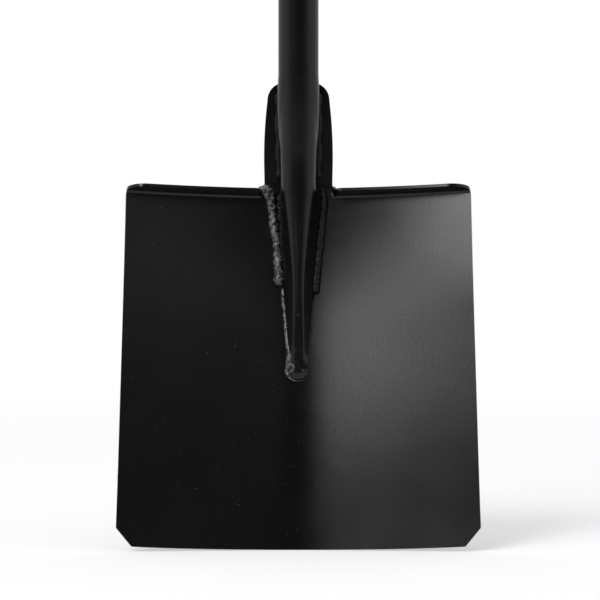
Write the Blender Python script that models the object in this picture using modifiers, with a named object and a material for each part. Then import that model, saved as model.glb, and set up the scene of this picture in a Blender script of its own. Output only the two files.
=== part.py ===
"""An all-steel digging spade, modelled piece by piece in metres.

The frame has its origin in the middle of the cutting edge, +Z up along the shaft, +X to the right
and -Y forward, the way the hollow face of the blade looks. The blade starts as a flat blank that
is cut to its outline and then pressed: a trough down the middle, two treads folded forward and a
tongue that stays up behind the shaft. The shaft is one tube whose lower end is drawn down, pressed
flat at the back and welded on, and whose top end carries a moulded D-grip.
"""

import math

import bmesh
import bpy
from mathutils import Matrix, Vector

# Clearances
GAP = 0.0003  # between pieces that touch

# Blade
SHEET = 0.002  # thickness of the steel sheet
BLADE_LENGTH = 0.250  # from the cutting edge to the underside of the treads, along the sheet
EDGE_WIDTH = 0.246  # at the cutting edge
TOP_WIDTH = 0.240  # under the treads
SIDE_HOLLOW = 0.0005  # how far each side bows inwards between its two ends
BLADE_LEAN = math.radians(15)  # how far the blade leans back from the shaft's line
DISH_DEPTH = 0.0155  # how far the sides stand forward of the middle
DISH_SWELL = 0.19  # how much deeper the dish is half way up, as a share of its depth
CREASE_ROUND = 0.0135  # radius of the crease in which the two halves meet
EDGE_ROLL = 0.14  # share of the trough that is a plain curve, without a crease, at the cutting edge
TREAD_ROLL = 0.77  # and under the treads
TREAD_ROLL_START = 0.61  # how far up the blade, as a share of its length, that begins to show
CORNER_CUT_WIDTH = 0.0108  # the cut corners at the bottom
CORNER_CUT_HEIGHT = 0.0122
CORNER_CUT_ROUND = 0.0018

# Treads
TREAD_REACH = 0.012  # how far a tread stands out from the blade's face
TREAD_FOLD = 0.0025  # radius inside the fold
TREAD_ANGLE = math.radians(90)
TREAD_CORNER = 0.0167  # rounding of the blank's upper corners, which the fold runs through

# Tongue
TONGUE_HEIGHT = 0.080  # above the treads' underside
TONGUE_NECK_WIDTH = 0.0460
TONGUE_BELLY_WIDTH = 0.0482
TONGUE_TOP_WIDTH = 0.0400
TONGUE_BELLY_SHARE = 0.37  # how far up the tongue its widest place is
TONGUE_CORNER = 0.0125
TONGUE_BEND = 0.040  # radius of the bend between blade and tongue
NOTCH_DEPTH = 0.0056  # of the notch cut beside the tongue, so that the treads can be turned
NOTCH_MOUTH = 0.0036
NOTCH_FLOOR = 0.0022
NOTCH_ROUND = 0.0009  # radius of the corners in its floor
NOTCH_LIP = 0.0015  # radius of the treads' corner beside its mouth
NECK_BLEND = 0.0037  # over which the tongue's bend turns into the treads' fold

# Shaft
TUBE_RADIUS = 0.014
TUBE_WALL = 0.0015
OVERALL_LENGTH = 1.100  # cutting edge to the top of the grip

# Lower end of the shaft, measured along the blade
NOSE_TIP_REACH = 0.1172  # from the cutting edge to the tip's end
NOSE_TIP_WIDTH = 0.0150
NOSE_TIP_THICKNESS = 0.0046
NOSE_TIP_FLAT = 0.0026  # half the width of the flat on its front
NOSE_TIP_ROUND = 0.0016  # radius of its edge at the back
NOSE_WAIST_REACH = 0.138  # where the flattened tip begins
NOSE_WAIST_WIDTH = 0.0132
NOSE_WAIST_DEPTH = 0.0066
NOSE_FOOT_WIDTH = 0.0330  # of the flattened back at the treads
NOSE_DEPTH = 0.0250  # of the tube at the treads
NOSE_CROWN = 0.0126  # radius of its front there
NOSE_WAIST_CROWN = 0.0031
NOSE_WAIST_FLAT = 0.0018  # half the width of the flat that runs down the front of the waist
NOSE_FLAT_RUN = 0.055  # how far above the waist that flat has gone
NOSE_FOOT_ROUND = 0.0020  # radius of the corners along its back
NOSE_CROWNING = 1.8  # how late the front widens upwards
NOSE_SOFT_BEND = 0.030  # over which its front turns upright on each side of the treads' fold
PINCH_WIDTH = 0.0249  # of the tube just above the treads
PINCH_CROWN = 0.0121  # radius of its front there
PINCH_FOOT_ROUND = 0.0090  # and of the corners along its back
PINCH_RISE = 0.0125  # over which it narrows to that above the fold
NOSE_TURN_RUN = 0.040  # over which its cross-sections turn upright on each side of the fold
SQUASH = 0.0011  # how far each side stands out beyond the round tube in front of the tongue
TIP_FALL = 0.5  # how the tip thins towards its end, 0 not at all and 1 as a cone does
SWAGE_ABOVE_TONGUE = 0.004  # where the round tube begins, above the tongue's top

# Welds
BEAD_RADIUS = 0.0028  # front beads
LEFT_BEAD_LENGTH = 0.067
RIGHT_BEAD_LENGTH = 0.073
TIP_BEAD_RADIUS = 0.0011
TONGUE_BEAD_RADIUS = 0.0028
TOP_BEAD_RADIUS = 0.0017
TOP_BEAD_ANGLE = math.radians(38)  # how far it runs round the tube on each side
TONGUE_BEAD_STOP = 0.0075  # below the tongue's top
BEAD_START = 0.55  # share of its radius that a bead has at its two ends
BEAD_GROWTH = 6.0  # how quickly it reaches its full radius from there
LEFT_RIPPLE = (4, 0.20)  # humps along a bead, and how deep the dips between them are
RIGHT_RIPPLE = (3, 0.06)
TIP_RIPPLE = (5, 0.06)
TONGUE_RIPPLE = (5, 0.12)
TOP_RIPPLE = (3, 0.08)

# Grip
GRIP_HEIGHT = 0.192  # from the collar's mouth to the crossbar's top
GRIP_WIDTH = 0.134  # over the fork's outer faces
COLLAR_RADIUS = 0.0190
COLLAR_DEPTH = 0.076  # how far the tube goes in
CROTCH_HEIGHT = 0.098  # of the hand opening's lowest point above the collar's mouth
ARM_WIDTH = 0.0180  # of an arm, seen from the front
ARM_DEPTH = 0.0250  # of an arm, front to back
ARM_PATH = ((0.24, 0.10, 1.15), (0.60, 0.30, 1.0), (0.89, 0.56, 0.92), (1.00, 0.80, 0.80))
COLLAR_CAGE_RATIO = 1.2  # the collar's coarse cage stands this much outside its smooth form
ARM_CAGE_RATIO = 1.12  # and the arms' cage this much
COLLAR_LAND = 0.0040  # straight stretch at the collar's mouth and neck
SHOULDER_DROP = 0.0080  # from the crotch to the arms' outer shoulders
BOSS_RADIUS = 0.0160  # of the eyes that hold the crossbar
BOSS_WIDTH = 0.0155
BOSS_EDGE = 0.0022  # rounding of the eyes' rims
BOSS_INSET = 0.0008  # of an arm's sides inside the eye's faces
BAR_RADIUS = 0.0090  # crossbar tube
BAR_WALL = 0.0012
BAR_SEAT = 0.0080  # how far the bar enters each eye
SLEEVE_RADIUS = 0.0150  # at the middle of the sleeve
SLEEVE_WAIST = 0.0140  # at its ends, before the lips
SLEEVE_LIP = 0.0156
SLEEVE_LIP_WIDTH = 0.0040
SLEEVE_LIP_EDGE = 0.0010
SLEEVE_LIP_SLOPE = 0.0016
RIVET_RADIUS = 0.0040  # long rivet through the crossbar
RIVET_HEAD_RADIUS = 0.0072
RIVET_HEAD_HEIGHT = 0.0030
WASHER_RADIUS = 0.0090
WASHER_THICKNESS = 0.0012
SPOT_FACE_DEPTH = 0.0010  # flat seats under the washers
COLLAR_RIVET_RADIUS = 0.0025
COLLAR_RIVET_HEIGHT = 0.030  # above the collar's mouth
COLLAR_HEAD_RADIUS = 0.0048
COLLAR_HEAD_HEIGHT = 0.0020
COLLAR_WASHER_RADIUS = 0.0062
COLLAR_WASHER_THICKNESS = 0.0008
RING_HEIGHT = 0.0050  # soft ring at the collar's mouth
RING_THICKNESS = 0.0030
PLUG_LENGTH = 0.056
PLUG_EDGE = 0.0008
PLUG_LEAD = 0.0030  # slope at its lower end
PLUG_GROOVE = 0.0012
PLUG_GROOVE_HALF = 0.0040  # half the height of a groove at its mouth
PLUG_GROOVES = 3

# How finely curved faces are cut
BLADE_COLUMNS = 20  # facets across the blade
BLADE_ROWS = 10  # facets down the blade
FOLD_ROWS = 5
NECK_COLUMNS = 6
TUBE_SIDES = 36
TIP_RINGS = 3
NOSE_RINGS = 10
BEND_RINGS = 4
STRAIGHT_RINGS = 3
SWAGE_RINGS = 6
DEPTH_STEPS = 5  # corrections that settle the depth of the flattened length
ROUND_STEPS = 6  # facets on a small rounded corner
HEAD_STEPS = 4  # facets down a rivet's head
FRONT_BEAD_STEPS = 22
TIP_BEAD_STEPS = 14  # round the tip
FOOT_BEAD_STEPS = 9  # and along each side of the foot
TONGUE_BEAD_STEPS = 18
TOP_BEAD_STEPS = 14
SLEEVE_STEPS = 10
TURN_STEPS = 32  # sides of a turned piece

# Worked out
HALF_SHEET = SHEET / 2
TREAD_BEND = TREAD_FOLD + HALF_SHEET
TREAD_ARC = TREAD_BEND * TREAD_ANGLE
FOLD_START = BLADE_LENGTH + HALF_SHEET - TREAD_BEND
TREAD_FLAT = TREAD_REACH + HALF_SHEET - TREAD_BEND
FREE_EDGE = FOLD_START + TREAD_ARC + TREAD_FLAT
NECK_INNER = TONGUE_BELLY_WIDTH / 2
NECK_OUTER = NECK_INNER + NECK_BLEND
TONGUE_TOP = BLADE_LENGTH + TONGUE_HEIGHT
SWAGE_TOP = TONGUE_TOP + SWAGE_ABOVE_TONGUE
UP_BLADE = Vector((0, math.sin(BLADE_LEAN), math.cos(BLADE_LEAN)))
OUT_OF_BLADE = Vector((0, -math.cos(BLADE_LEAN), math.sin(BLADE_LEAN)))

STEEL_BLACK = (0.012, 0.012, 0.012)
ZINC_GREY = (0.55, 0.55, 0.56)
MOULDED_BLACK = (0.020, 0.020, 0.021)
SOFT_BLACK = (0.028, 0.028, 0.029)


def smooth_step(t):
    t = min(max(t, 0.0), 1.0)
    return t * t * (3 - 2 * t)


def mix(a, b, t):
    return a + (b - a) * t


def clear_scene():
    for item in list(bpy.data.objects):
        bpy.data.objects.remove(item, do_unlink=True)


def new_collection(name):
    collection = bpy.data.collections.new(name)
    bpy.context.scene.collection.children.link(collection)
    return collection


def make_material(name, colour, roughness, metallic):
    material = bpy.data.materials.new(name)
    material.use_nodes = True
    shader = material.node_tree.nodes["Principled BSDF"]
    shader.inputs["Base Color"].default_value = (*colour, 1)
    shader.inputs["Roughness"].default_value = roughness
    shader.inputs["Metallic"].default_value = metallic
    return material


def add_object(name, mesh, collection, material=None):
    item = bpy.data.objects.new(name, mesh)
    collection.objects.link(item)
    if material:
        mesh.materials.append(material)
    return item


def mesh_from(bm, name):
    """A mesh of what bm holds, its faces turned outwards and its round parts shaded smooth."""
    bmesh.ops.recalc_face_normals(bm, faces=bm.faces)
    mesh = bpy.data.meshes.new(name)
    bm.to_mesh(mesh)
    bm.free()
    mesh.shade_smooth()
    mesh.set_sharp_from_angle(angle=math.radians(35))
    return mesh


def as_cutter(item):
    item.hide_render = True
    item.display_type = "WIRE"
    return item


def cut(item, cutter):
    modifier = item.modifiers.new(f"cut_{cutter.name}", "BOOLEAN")
    modifier.operation = "DIFFERENCE"
    modifier.solver = "EXACT"
    modifier.object = cutter


def join(item, other):
    modifier = item.modifiers.new(f"join_{other.name}", "BOOLEAN")
    modifier.operation = "UNION"
    modifier.solver = "EXACT"
    modifier.object = other


def apply_curve(item, collection, material):
    """The curve object as a mesh object of the same name, with its caps welded to its sides."""
    depsgraph = bpy.context.evaluated_depsgraph_get()
    mesh = bpy.data.meshes.new_from_object(item.evaluated_get(depsgraph))
    bm = bmesh.new()
    bm.from_mesh(mesh)
    bmesh.ops.remove_doubles(bm, verts=bm.verts, dist=1e-6)
    bmesh.ops.recalc_face_normals(bm, faces=bm.faces)
    bm.to_mesh(mesh)
    bm.free()
    name, matrix = item.name, item.matrix_world.copy()
    bpy.data.objects.remove(item, do_unlink=True)
    solid = add_object(name, mesh, collection, material)
    solid.matrix_world = matrix
    return solid


# The blade's pressed surface


def trough(x, share):
    """How far the sheet stands forward at x, with share 0 at the cutting edge and 1 at the treads."""
    half = EDGE_WIDTH / 2
    share = min(max(share, 0.0), 1.0)
    reach = math.hypot(half, CREASE_ROUND) - CREASE_ROUND
    creased = (math.hypot(x, CREASE_ROUND) - CREASE_ROUND) / reach
    rolled = (x / half) ** 2
    upper = smooth_step((share - TREAD_ROLL_START) / (1 - TREAD_ROLL_START))
    roll = EDGE_ROLL * (1 - share) ** 2 + TREAD_ROLL * upper
    deep = DISH_DEPTH * (1 + DISH_SWELL * math.sin(math.pi * share) ** 2)
    return deep * mix(creased, rolled, roll)


def bend(along, angle, radius):
    """(up, out, turned) of a place on a strip that is bent forward above the fold's start."""
    above = max(along - FOLD_START, 0.0)
    turned = min(above / radius, angle)
    straight = above - turned * radius
    up = radius * math.sin(turned) + straight * math.cos(turned)
    out = radius * (1 - math.cos(turned)) + straight * math.sin(turned)
    return up, out, turned


def tread_share(x):
    """How much of the sheet's turn belongs to a tread there: 0 on the tongue, 1 on a tread."""
    return smooth_step((abs(x) - NECK_INNER) / NECK_BLEND)


def pressed(x, along):
    """Where a point of the flat blank lies, on the middle of the pressed sheet's thickness."""
    share = tread_share(x)
    tongue_up, tongue_out, _ = bend(along, BLADE_LEAN, TONGUE_BEND)
    tread_up, tread_out, _ = bend(along, TREAD_ANGLE, TREAD_BEND)
    up = min(along, FOLD_START) + mix(tongue_up, tread_up, share)
    out = trough(x, along / BLADE_LENGTH) + mix(tongue_out, tread_out, share)
    return Vector((x, 0, 0)) + up * UP_BLADE + out * OUT_OF_BLADE


def spine_frame(along):
    """(point, outward direction) on the sheet's middle line, which runs from blade to tongue."""
    turned = bend(along, BLADE_LEAN, TONGUE_BEND)[2]
    return pressed(0, along), math.cos(turned) * OUT_OF_BLADE - math.sin(turned) * UP_BLADE


def side_at(along):
    """Half the blank's width at a distance from the cutting edge."""
    t = along / BLADE_LENGTH
    return mix(EDGE_WIDTH, TOP_WIDTH, t) / 2 - SIDE_HOLLOW * 4 * t * (1 - min(t, 1))


def tongue_half(along):
    """Half the tongue's width: a parabola through its neck, its belly and its top."""
    t = (along - BLADE_LENGTH) / TONGUE_HEIGHT
    s = TONGUE_BELLY_SHARE
    to_belly = TONGUE_BELLY_WIDTH - TONGUE_NECK_WIDTH
    to_top = TONGUE_TOP_WIDTH - TONGUE_NECK_WIDTH
    bend = (to_belly / s - to_top) / (s - 1)
    return (TONGUE_NECK_WIDTH + (to_top - bend) * t + bend * t * t) / 2


def rounded(corner, before, after, radius, steps):
    """Points of an arc that rounds a corner between two neighbouring points of an outline."""
    a = (Vector(before) - Vector(corner)).normalized()
    b = (Vector(after) - Vector(corner)).normalized()
    half_angle = a.angle(b) / 2
    centre = Vector(corner) + (a + b).normalized() * (radius / math.sin(half_angle))
    start = Vector(corner) + a * (radius / math.tan(half_angle)) - centre
    end = Vector(corner) + b * (radius / math.tan(half_angle)) - centre
    turn = start.angle_signed(end)
    arc = [Matrix.Rotation(-turn * i / steps, 2) @ start + centre for i in range(steps + 1)]
    return [tuple(p) for p in arc]


def blank_outline():
    """The flat blank's outline as (x, along) points, one half and then its mirror image."""
    foot = (side_at(0) - CORNER_CUT_WIDTH, 0)
    heel = (side_at(CORNER_CUT_HEIGHT), CORNER_CUT_HEIGHT)
    shoulder = (side_at(FREE_EDGE), FREE_EDGE)
    neck_side = tongue_half(FREE_EDGE)
    mouth = (neck_side + NOTCH_MOUTH, FREE_EDGE)
    floor = FREE_EDGE - NOTCH_DEPTH
    notch = [(neck_side + NOTCH_FLOOR, floor), (neck_side, floor)]
    top_side = tongue_half(TONGUE_TOP - TONGUE_CORNER)
    top = (top_side, TONGUE_TOP)
    half = [(0.0, 0.0)]
    half += rounded(foot, half[0], heel, CORNER_CUT_ROUND, 2)
    half += rounded(heel, foot, shoulder, CORNER_CUT_ROUND, 2)
    rise = FREE_EDGE - TREAD_CORNER
    for i in range(1, BLADE_ROWS):
        along = mix(CORNER_CUT_HEIGHT, rise, i / BLADE_ROWS)
        half.append((side_at(along), along))
    half += rounded(shoulder, (side_at(rise), rise), mouth, TREAD_CORNER, ROUND_STEPS)
    half += rounded(mouth, shoulder, notch[0], NOTCH_LIP, 2)
    half += rounded(notch[0], mouth, notch[1], NOTCH_ROUND, 3)
    half += rounded(notch[1], notch[0], (neck_side, FREE_EDGE), NOTCH_ROUND, 3)
    low, high = FREE_EDGE, TONGUE_TOP - TONGUE_CORNER
    for i in range(ROUND_STEPS):
        along = mix(low, high, i / ROUND_STEPS)
        half.append((tongue_half(along), along))
    half += rounded(top, (top_side, high), (0, TONGUE_TOP), TONGUE_CORNER, ROUND_STEPS)
    half.append((0.0, TONGUE_TOP))
    mirrored = [(-x, along) for x, along in reversed(half[1:-1])]
    return half + mirrored


def cut_lines():
    """Where the blank is divided so that it can be pressed: lists of x and of along."""
    spread = [side_at(0) * i / (BLADE_COLUMNS / 2) for i in range(1, BLADE_COLUMNS // 2)]
    neck = [mix(NECK_INNER, NECK_OUTER, i / NECK_COLUMNS) for i in range(NECK_COLUMNS + 1)]
    least = NECK_BLEND / NECK_COLUMNS
    inner = [NECK_INNER * i / 4 for i in (1, 2, 3)]
    outer = [x for x in spread if x > NECK_OUTER + least]
    columns = [0.0]
    for x in inner + neck + outer:
        columns += [x, -x]
    rows = [FOLD_START * i / BLADE_ROWS for i in range(1, BLADE_ROWS)]
    rows += [FOLD_START + TREAD_ARC * i / FOLD_ROWS for i in range(FOLD_ROWS + 1)]
    rows += [mix(FOLD_START + TREAD_ARC, FREE_EDGE, 0.5)]
    rows += [FREE_EDGE, TONGUE_TOP - TONGUE_CORNER]
    return columns, rows


def make_blade(parts, material):
    bm = bmesh.new()
    corners = [bm.verts.new((x, along, 0)) for x, along in blank_outline()]
    bm.faces.new(corners)
    columns, rows = cut_lines()
    for normal, places in (((1, 0, 0), columns), ((0, 1, 0), rows)):
        for place in places:
            everything = bm.verts[:] + bm.edges[:] + bm.faces[:]
            point = Vector(normal) * place
            bmesh.ops.bisect_plane(bm, geom=everything, dist=1e-6, plane_co=point, plane_no=normal)
    bmesh.ops.remove_doubles(bm, verts=bm.verts, dist=5e-5)
    for vertex in bm.verts:
        vertex.co = pressed(vertex.co.x, vertex.co.y)
    blade = add_object("blade", mesh_from(bm, "blade"), parts, material)
    wall = blade.modifiers.new("sheet", "SOLIDIFY")
    wall.thickness = SHEET
    wall.offset = 0
    wall.use_even_offset = True
    return blade


# Lofts


def loft(name, rings, collection, material, inner=None):
    """A closed body through rings of points. With inner rings it is a tube that is open at its last ring."""
    bm = bmesh.new()

    def skin(loops):
        rows = [[bm.verts.new(p) for p in ring] for ring in loops]
        for a, b in zip(rows, rows[1:]):
            for i in range(len(a)):
                j = (i + 1) % len(a)
                bm.faces.new((a[i], a[j], b[j], b[i]))
        bm.faces.new(rows[0])
        return rows[-1]

    last = skin(rings)
    if inner:
        mouth = skin(inner)
        for i in range(len(last)):
            j = (i + 1) % len(last)
            bm.faces.new((last[i], last[j], mouth[j], mouth[i]))
    else:
        bm.faces.new(last)
    return add_object(name, mesh_from(bm, name), collection, material)


def hull_section(half, depth, crown, foot, flat, sides, thinner=0.0):
    """(x, height) points round the shape that encloses two foot circles and two crown circles.

    half is half the width at the feet, flat half the width between the crown circles, and thinner
    moves the outline inwards by a wall.
    """
    circles = [(half - foot, foot, foot), (foot - half, foot, foot)]
    circles += [(flat, depth - crown, crown), (-flat, depth - crown, crown)]
    points = []
    for i in range(sides):
        angle = 2 * math.pi * (i + 0.5) / sides
        x, y = math.sin(angle), math.cos(angle)
        reach, cx, cy, r = max((c[0] * x + c[1] * y + c[2], *c) for c in circles)
        points.append((cx + (r - thinner) * x, cy + (r - thinner) * y))
    return points


# The shaft


def section_direction(along):
    """The way a cross-section stands out: it turns upright more slowly than the sheet does."""
    turned = BLADE_LEAN * smooth_step((along - FOLD_START) / (2 * NOSE_TURN_RUN) + 0.5)
    return math.cos(turned) * OUT_OF_BLADE - math.sin(turned) * UP_BLADE


def front_point(along, depth):
    """Where the middle of the tube's front lies for a depth at a place on the blade."""
    out = section_direction(along)
    return spine_frame(along)[0] + (HALF_SHEET + GAP + depth) * out


def front_line(height):
    """How far forward the tube's front lies at a height: two slopes and a soft bend at the fold."""
    foot = front_point(NOSE_WAIST_REACH, NOSE_WAIST_DEPTH)
    fold = front_point(FOLD_START, NOSE_DEPTH)
    top = front_point(SWAGE_TOP, 2 * TUBE_RADIUS)
    low = (fold.y - foot.y) / (fold.z - foot.z)
    high = (top.y - fold.y) / (top.z - fold.z)
    above = height - fold.z
    straight = fold.y + above * (low if above < 0 else high)
    within = max(NOSE_SOFT_BEND - abs(above), 0.0)
    return straight - (low - high) * within**2 / (4 * NOSE_SOFT_BEND)


def nose_depth(along):
    """Depth of the tube above its flattened tip, which brings its front to the front line."""
    depth = NOSE_DEPTH
    for _ in range(DEPTH_STEPS):
        point = front_point(along, depth)
        depth += (point.y - front_line(point.z)) / -section_direction(along).y
    return depth


def nose_section(along):
    """(half width, depth, crown radius, foot radius, half flat) of the tube at a place on the blade."""
    tip, waist = NOSE_TIP_REACH, NOSE_WAIST_REACH
    if along <= waist:
        t = smooth_step((waist - along) / (waist - tip - NOSE_TIP_WIDTH / 2))
        half = mix(NOSE_WAIST_WIDTH, NOSE_TIP_WIDTH, t) / 2
        depth = mix(NOSE_WAIST_DEPTH, NOSE_TIP_THICKNESS, t)
        crown = mix(NOSE_WAIST_CROWN, NOSE_TIP_THICKNESS / 2, t)
        foot = mix(NOSE_FOOT_ROUND, NOSE_TIP_ROUND, t)
        return half, depth, crown, foot, mix(NOSE_WAIST_FLAT, NOSE_TIP_FLAT, t)
    depth = nose_depth(along)
    if along <= FOLD_START:
        t = (along - waist) / (FOLD_START - waist)
        half = mix(NOSE_WAIST_WIDTH, NOSE_FOOT_WIDTH, t) / 2
        crown = mix(NOSE_WAIST_CROWN, NOSE_CROWN, t**NOSE_CROWNING)
        flat = NOSE_WAIST_FLAT * (1 - smooth_step((along - waist) / NOSE_FLAT_RUN))
        return half, depth, crown, NOSE_FOOT_ROUND, flat
    t = (along - FOLD_START) / (SWAGE_TOP - FOLD_START)
    pinch = smooth_step((along - FOLD_START) / PINCH_RISE)
    half = mix(mix(NOSE_FOOT_WIDTH, PINCH_WIDTH, pinch) / 2, TUBE_RADIUS, t)
    half += SQUASH * math.sin(math.pi * t * t)
    crown = mix(mix(NOSE_CROWN, PINCH_CROWN, pinch), TUBE_RADIUS, t)
    foot = mix(mix(NOSE_FOOT_ROUND, PINCH_FOOT_ROUND, pinch), TUBE_RADIUS, t)
    most = min(depth / 2, half)
    return half, depth, min(crown, most), min(foot, most), 0.0


def tube_ring(along, section, thinner=0.0):
    """The section at a place on the blade or tongue, standing on the sheet's front."""
    half, depth, crown, foot, flat = section
    base = spine_frame(along)[0]
    out = section_direction(along)
    points = []
    for x, height in hull_section(half, depth, crown, foot, flat, TUBE_SIDES, thinner):
        swell = trough(x, along / BLADE_LENGTH)
        points.append(base + Vector((x, 0, 0)) + (HALF_SHEET + GAP + swell + height) * out)
    return points


def tip_rings(thinner=0.0):
    """Rings round the tip's end, which is a half circle seen from the front."""
    radius = NOSE_TIP_WIDTH / 2
    rings = []
    for i in range(ROUND_STEPS):
        angle = math.pi / 2 * (i + 0.5) / ROUND_STEPS
        along = NOSE_TIP_REACH + radius * (1 - math.cos(angle))
        half = radius * math.sin(angle)
        depth = NOSE_TIP_THICKNESS * math.sin(angle) ** TIP_FALL
        crown = min(depth / 2, half)
        foot = min(NOSE_TIP_ROUND, crown)
        flat = min(NOSE_TIP_FLAT, half - crown)
        rings.append(tube_ring(along, (half, depth, crown, foot, flat), thinner))
    return rings


def shaft_axis():
    """The y of the shaft's axis: the round tube stands on the tongue's front."""
    back = pressed(0, TONGUE_TOP).y - HALF_SHEET - GAP
    return back - TUBE_RADIUS


def shaft_top():
    return OVERALL_LENGTH - GRIP_HEIGHT + COLLAR_DEPTH


def straight_rings(thinner=0.0):
    """Rings of the straight tube, from the top of the swaged end to the open end."""
    low = pressed(0, SWAGE_TOP).z
    high = shaft_top()
    section = (TUBE_RADIUS, 2 * TUBE_RADIUS, TUBE_RADIUS, TUBE_RADIUS, 0.0)
    rings = []
    for i in range(1, STRAIGHT_RINGS + 1):
        height = mix(low, high, i / STRAIGHT_RINGS)
        ring = []
        for x, depth in hull_section(*section[:4], 0.0, TUBE_SIDES, thinner):
            ring.append(Vector((x, shaft_axis() + TUBE_RADIUS - depth, height)))
        rings.append(ring)
    return rings


def nose_stations():
    """Places along the blade and tongue where the tube has a ring."""
    shoulder = NOSE_TIP_REACH + NOSE_TIP_WIDTH / 2
    bend_top = FOLD_START + TONGUE_BEND * BLADE_LEAN
    stretches = (
        (shoulder, NOSE_WAIST_REACH, TIP_RINGS),
        (NOSE_WAIST_REACH, FOLD_START, NOSE_RINGS),
        (FOLD_START, bend_top, BEND_RINGS),
        (bend_top, SWAGE_TOP, SWAGE_RINGS),
    )
    places = [shoulder]
    for low, high, count in stretches:
        places += [mix(low, high, i / count) for i in range(1, count + 1)]
    return places


def make_shaft(parts, cutters, material):
    outside = tip_rings()
    inside = []
    for along in nose_stations():
        section = nose_section(along)
        outside.append(tube_ring(along, section))
        if section[1] > 3 * TUBE_WALL and along > NOSE_WAIST_REACH:
            inside.append(tube_ring(along, section, TUBE_WALL))
    outside += straight_rings()
    inside += straight_rings(TUBE_WALL)
    shaft = loft("shaft_tube", outside, parts, material, inside)
    hole = cross_pin("shaft_rivet_hole", COLLAR_RIVET_RADIUS + GAP, 4 * TUBE_RADIUS, cutters)
    cut(shaft, as_cutter(hole))
    return shaft


def cross_pin(name, radius, length, collection, material=None):
    """A plain round pin from front to back through the collar, at the rivet's height."""
    bm = bmesh.new()
    bmesh.ops.create_cone(
        bm, cap_ends=True, segments=TURN_STEPS // 2, radius1=radius, radius2=radius, depth=length
    )
    item = add_object(name, mesh_from(bm, name), collection, material)
    item.rotation_euler = (math.pi / 2, 0, 0)
    item.location = (0, shaft_axis(), collar_mouth() + COLLAR_RIVET_HEIGHT)
    return item


# Welds


def bead(name, points, radii, parts, material):
    """A weld bead: a round rope along points, thick and thin as it was laid."""
    data = bpy.data.curves.new(name, "CURVE")
    data.dimensions = "3D"
    data.bevel_depth = 1.0
    data.bevel_resolution = 2
    data.use_fill_caps = True
    spline = data.splines.new("POLY")
    spline.points.add(len(points) - 1)
    for spot, point, radius in zip(spline.points, points, radii):
        spot.co = (*point, 1)
        spot.radius = radius
    item = bpy.data.objects.new(name, data)
    parts.objects.link(item)
    return apply_curve(item, parts, material)


def bead_seat(along, section, radius):
    """(x, height) of a bead's middle where it touches both the tube's foot and the sheet."""
    half, _, _, foot, _ = section
    apart = foot + radius + GAP
    rise = radius - foot
    return half - foot + math.sqrt(max(apart * apart - rise * rise, 0.0)), radius


def on_sheet(x, along, height):
    """A point above the sheet's front, with the gap that touching pieces keep."""
    base, out = spine_frame(along)
    swell = trough(x, along / BLADE_LENGTH)
    return base + Vector((x, 0, 0)) + (HALF_SHEET + GAP + swell + height) * out


def ripple(t, humps, depth):
    """The bead's thickness along its run, as a share of its full radius."""
    ends = min(1.0, BEAD_START + BEAD_GROWTH * min(t, 1 - t))
    return ends * (1 - depth * (1 + math.cos(2 * math.pi * humps * t)) / 2)


def side_bead(name, side, low, high, full, humps, steps, parts, material):
    """A bead between the tube's foot and the sheet, from high down to low on one side."""
    points, radii = [], []
    for i in range(steps + 1):
        t = i / steps
        along = mix(high, low, t)
        radius = full * ripple(t, *humps)
        x, height = bead_seat(along, nose_section(along), full)
        points.append(on_sheet(side * x, along, height - full + radius))
        radii.append(radius)
    bead(name, points, radii, parts, material)


def make_front_beads(parts, material):
    top = FOLD_START + TREAD_BEND / 2
    for name, side, length, humps in (
        ("weld_front_left", -1, LEFT_BEAD_LENGTH, LEFT_RIPPLE),
        ("weld_front_right", 1, RIGHT_BEAD_LENGTH, RIGHT_RIPPLE),
    ):
        side_bead(
            name, side, top - length, top, BEAD_RADIUS, humps, FRONT_BEAD_STEPS, parts, material
        )


def make_tip_bead(parts, material):
    """The thin lip of weld that runs down the foot's left side, round the tip and up again."""
    radius = TIP_BEAD_RADIUS
    shoulder = NOSE_TIP_REACH + NOSE_TIP_WIDTH / 2
    reach = bead_seat(shoulder, nose_section(shoulder), radius)[0]
    top = FOLD_START + TREAD_BEND / 2
    path = []
    for side, length in ((-1, LEFT_BEAD_LENGTH), (1, RIGHT_BEAD_LENGTH)):
        start = top - length - BEAD_RADIUS - radius
        leg = []
        for i in range(FOOT_BEAD_STEPS):
            along = mix(start, shoulder, i / FOOT_BEAD_STEPS)
            leg.append((side * bead_seat(along, nose_section(along), radius)[0], along))
        path.append(leg)
    arc = []
    for i in range(TIP_BEAD_STEPS + 1):
        angle = math.pi * i / TIP_BEAD_STEPS
        arc.append((-reach * math.cos(angle), shoulder - reach * math.sin(angle)))
    places = path[0] + arc + path[1][::-1]
    points = [on_sheet(x, along, radius) for x, along in places]
    last = len(points) - 1
    radii = [radius * ripple(i / last, *TIP_RIPPLE) for i in range(last + 1)]
    bead("weld_tip", points, radii, parts, material)


def make_tongue_beads(parts, material):
    high = TONGUE_TOP - TONGUE_BEAD_STOP
    for name, side in (("weld_tongue_left", -1), ("weld_tongue_right", 1)):
        side_bead(
            name,
            side,
            FREE_EDGE,
            high,
            TONGUE_BEAD_RADIUS,
            TONGUE_RIPPLE,
            TONGUE_BEAD_STEPS,
            parts,
            material,
        )
    height = pressed(0, TONGUE_TOP).z + TOP_BEAD_RADIUS + GAP
    reach = TUBE_RADIUS + TOP_BEAD_RADIUS + GAP
    points, radii = [], []
    for i in range(TOP_BEAD_STEPS + 1):
        angle = mix(-TOP_BEAD_ANGLE, TOP_BEAD_ANGLE, i / TOP_BEAD_STEPS)
        y = shaft_axis() + reach * math.cos(angle)
        points.append(Vector((reach * math.sin(angle), y, height)))
        radii.append(TOP_BEAD_RADIUS * ripple(i / TOP_BEAD_STEPS, *TOP_RIPPLE))
    bead("weld_tongue_top", points, radii, parts, material)


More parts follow.
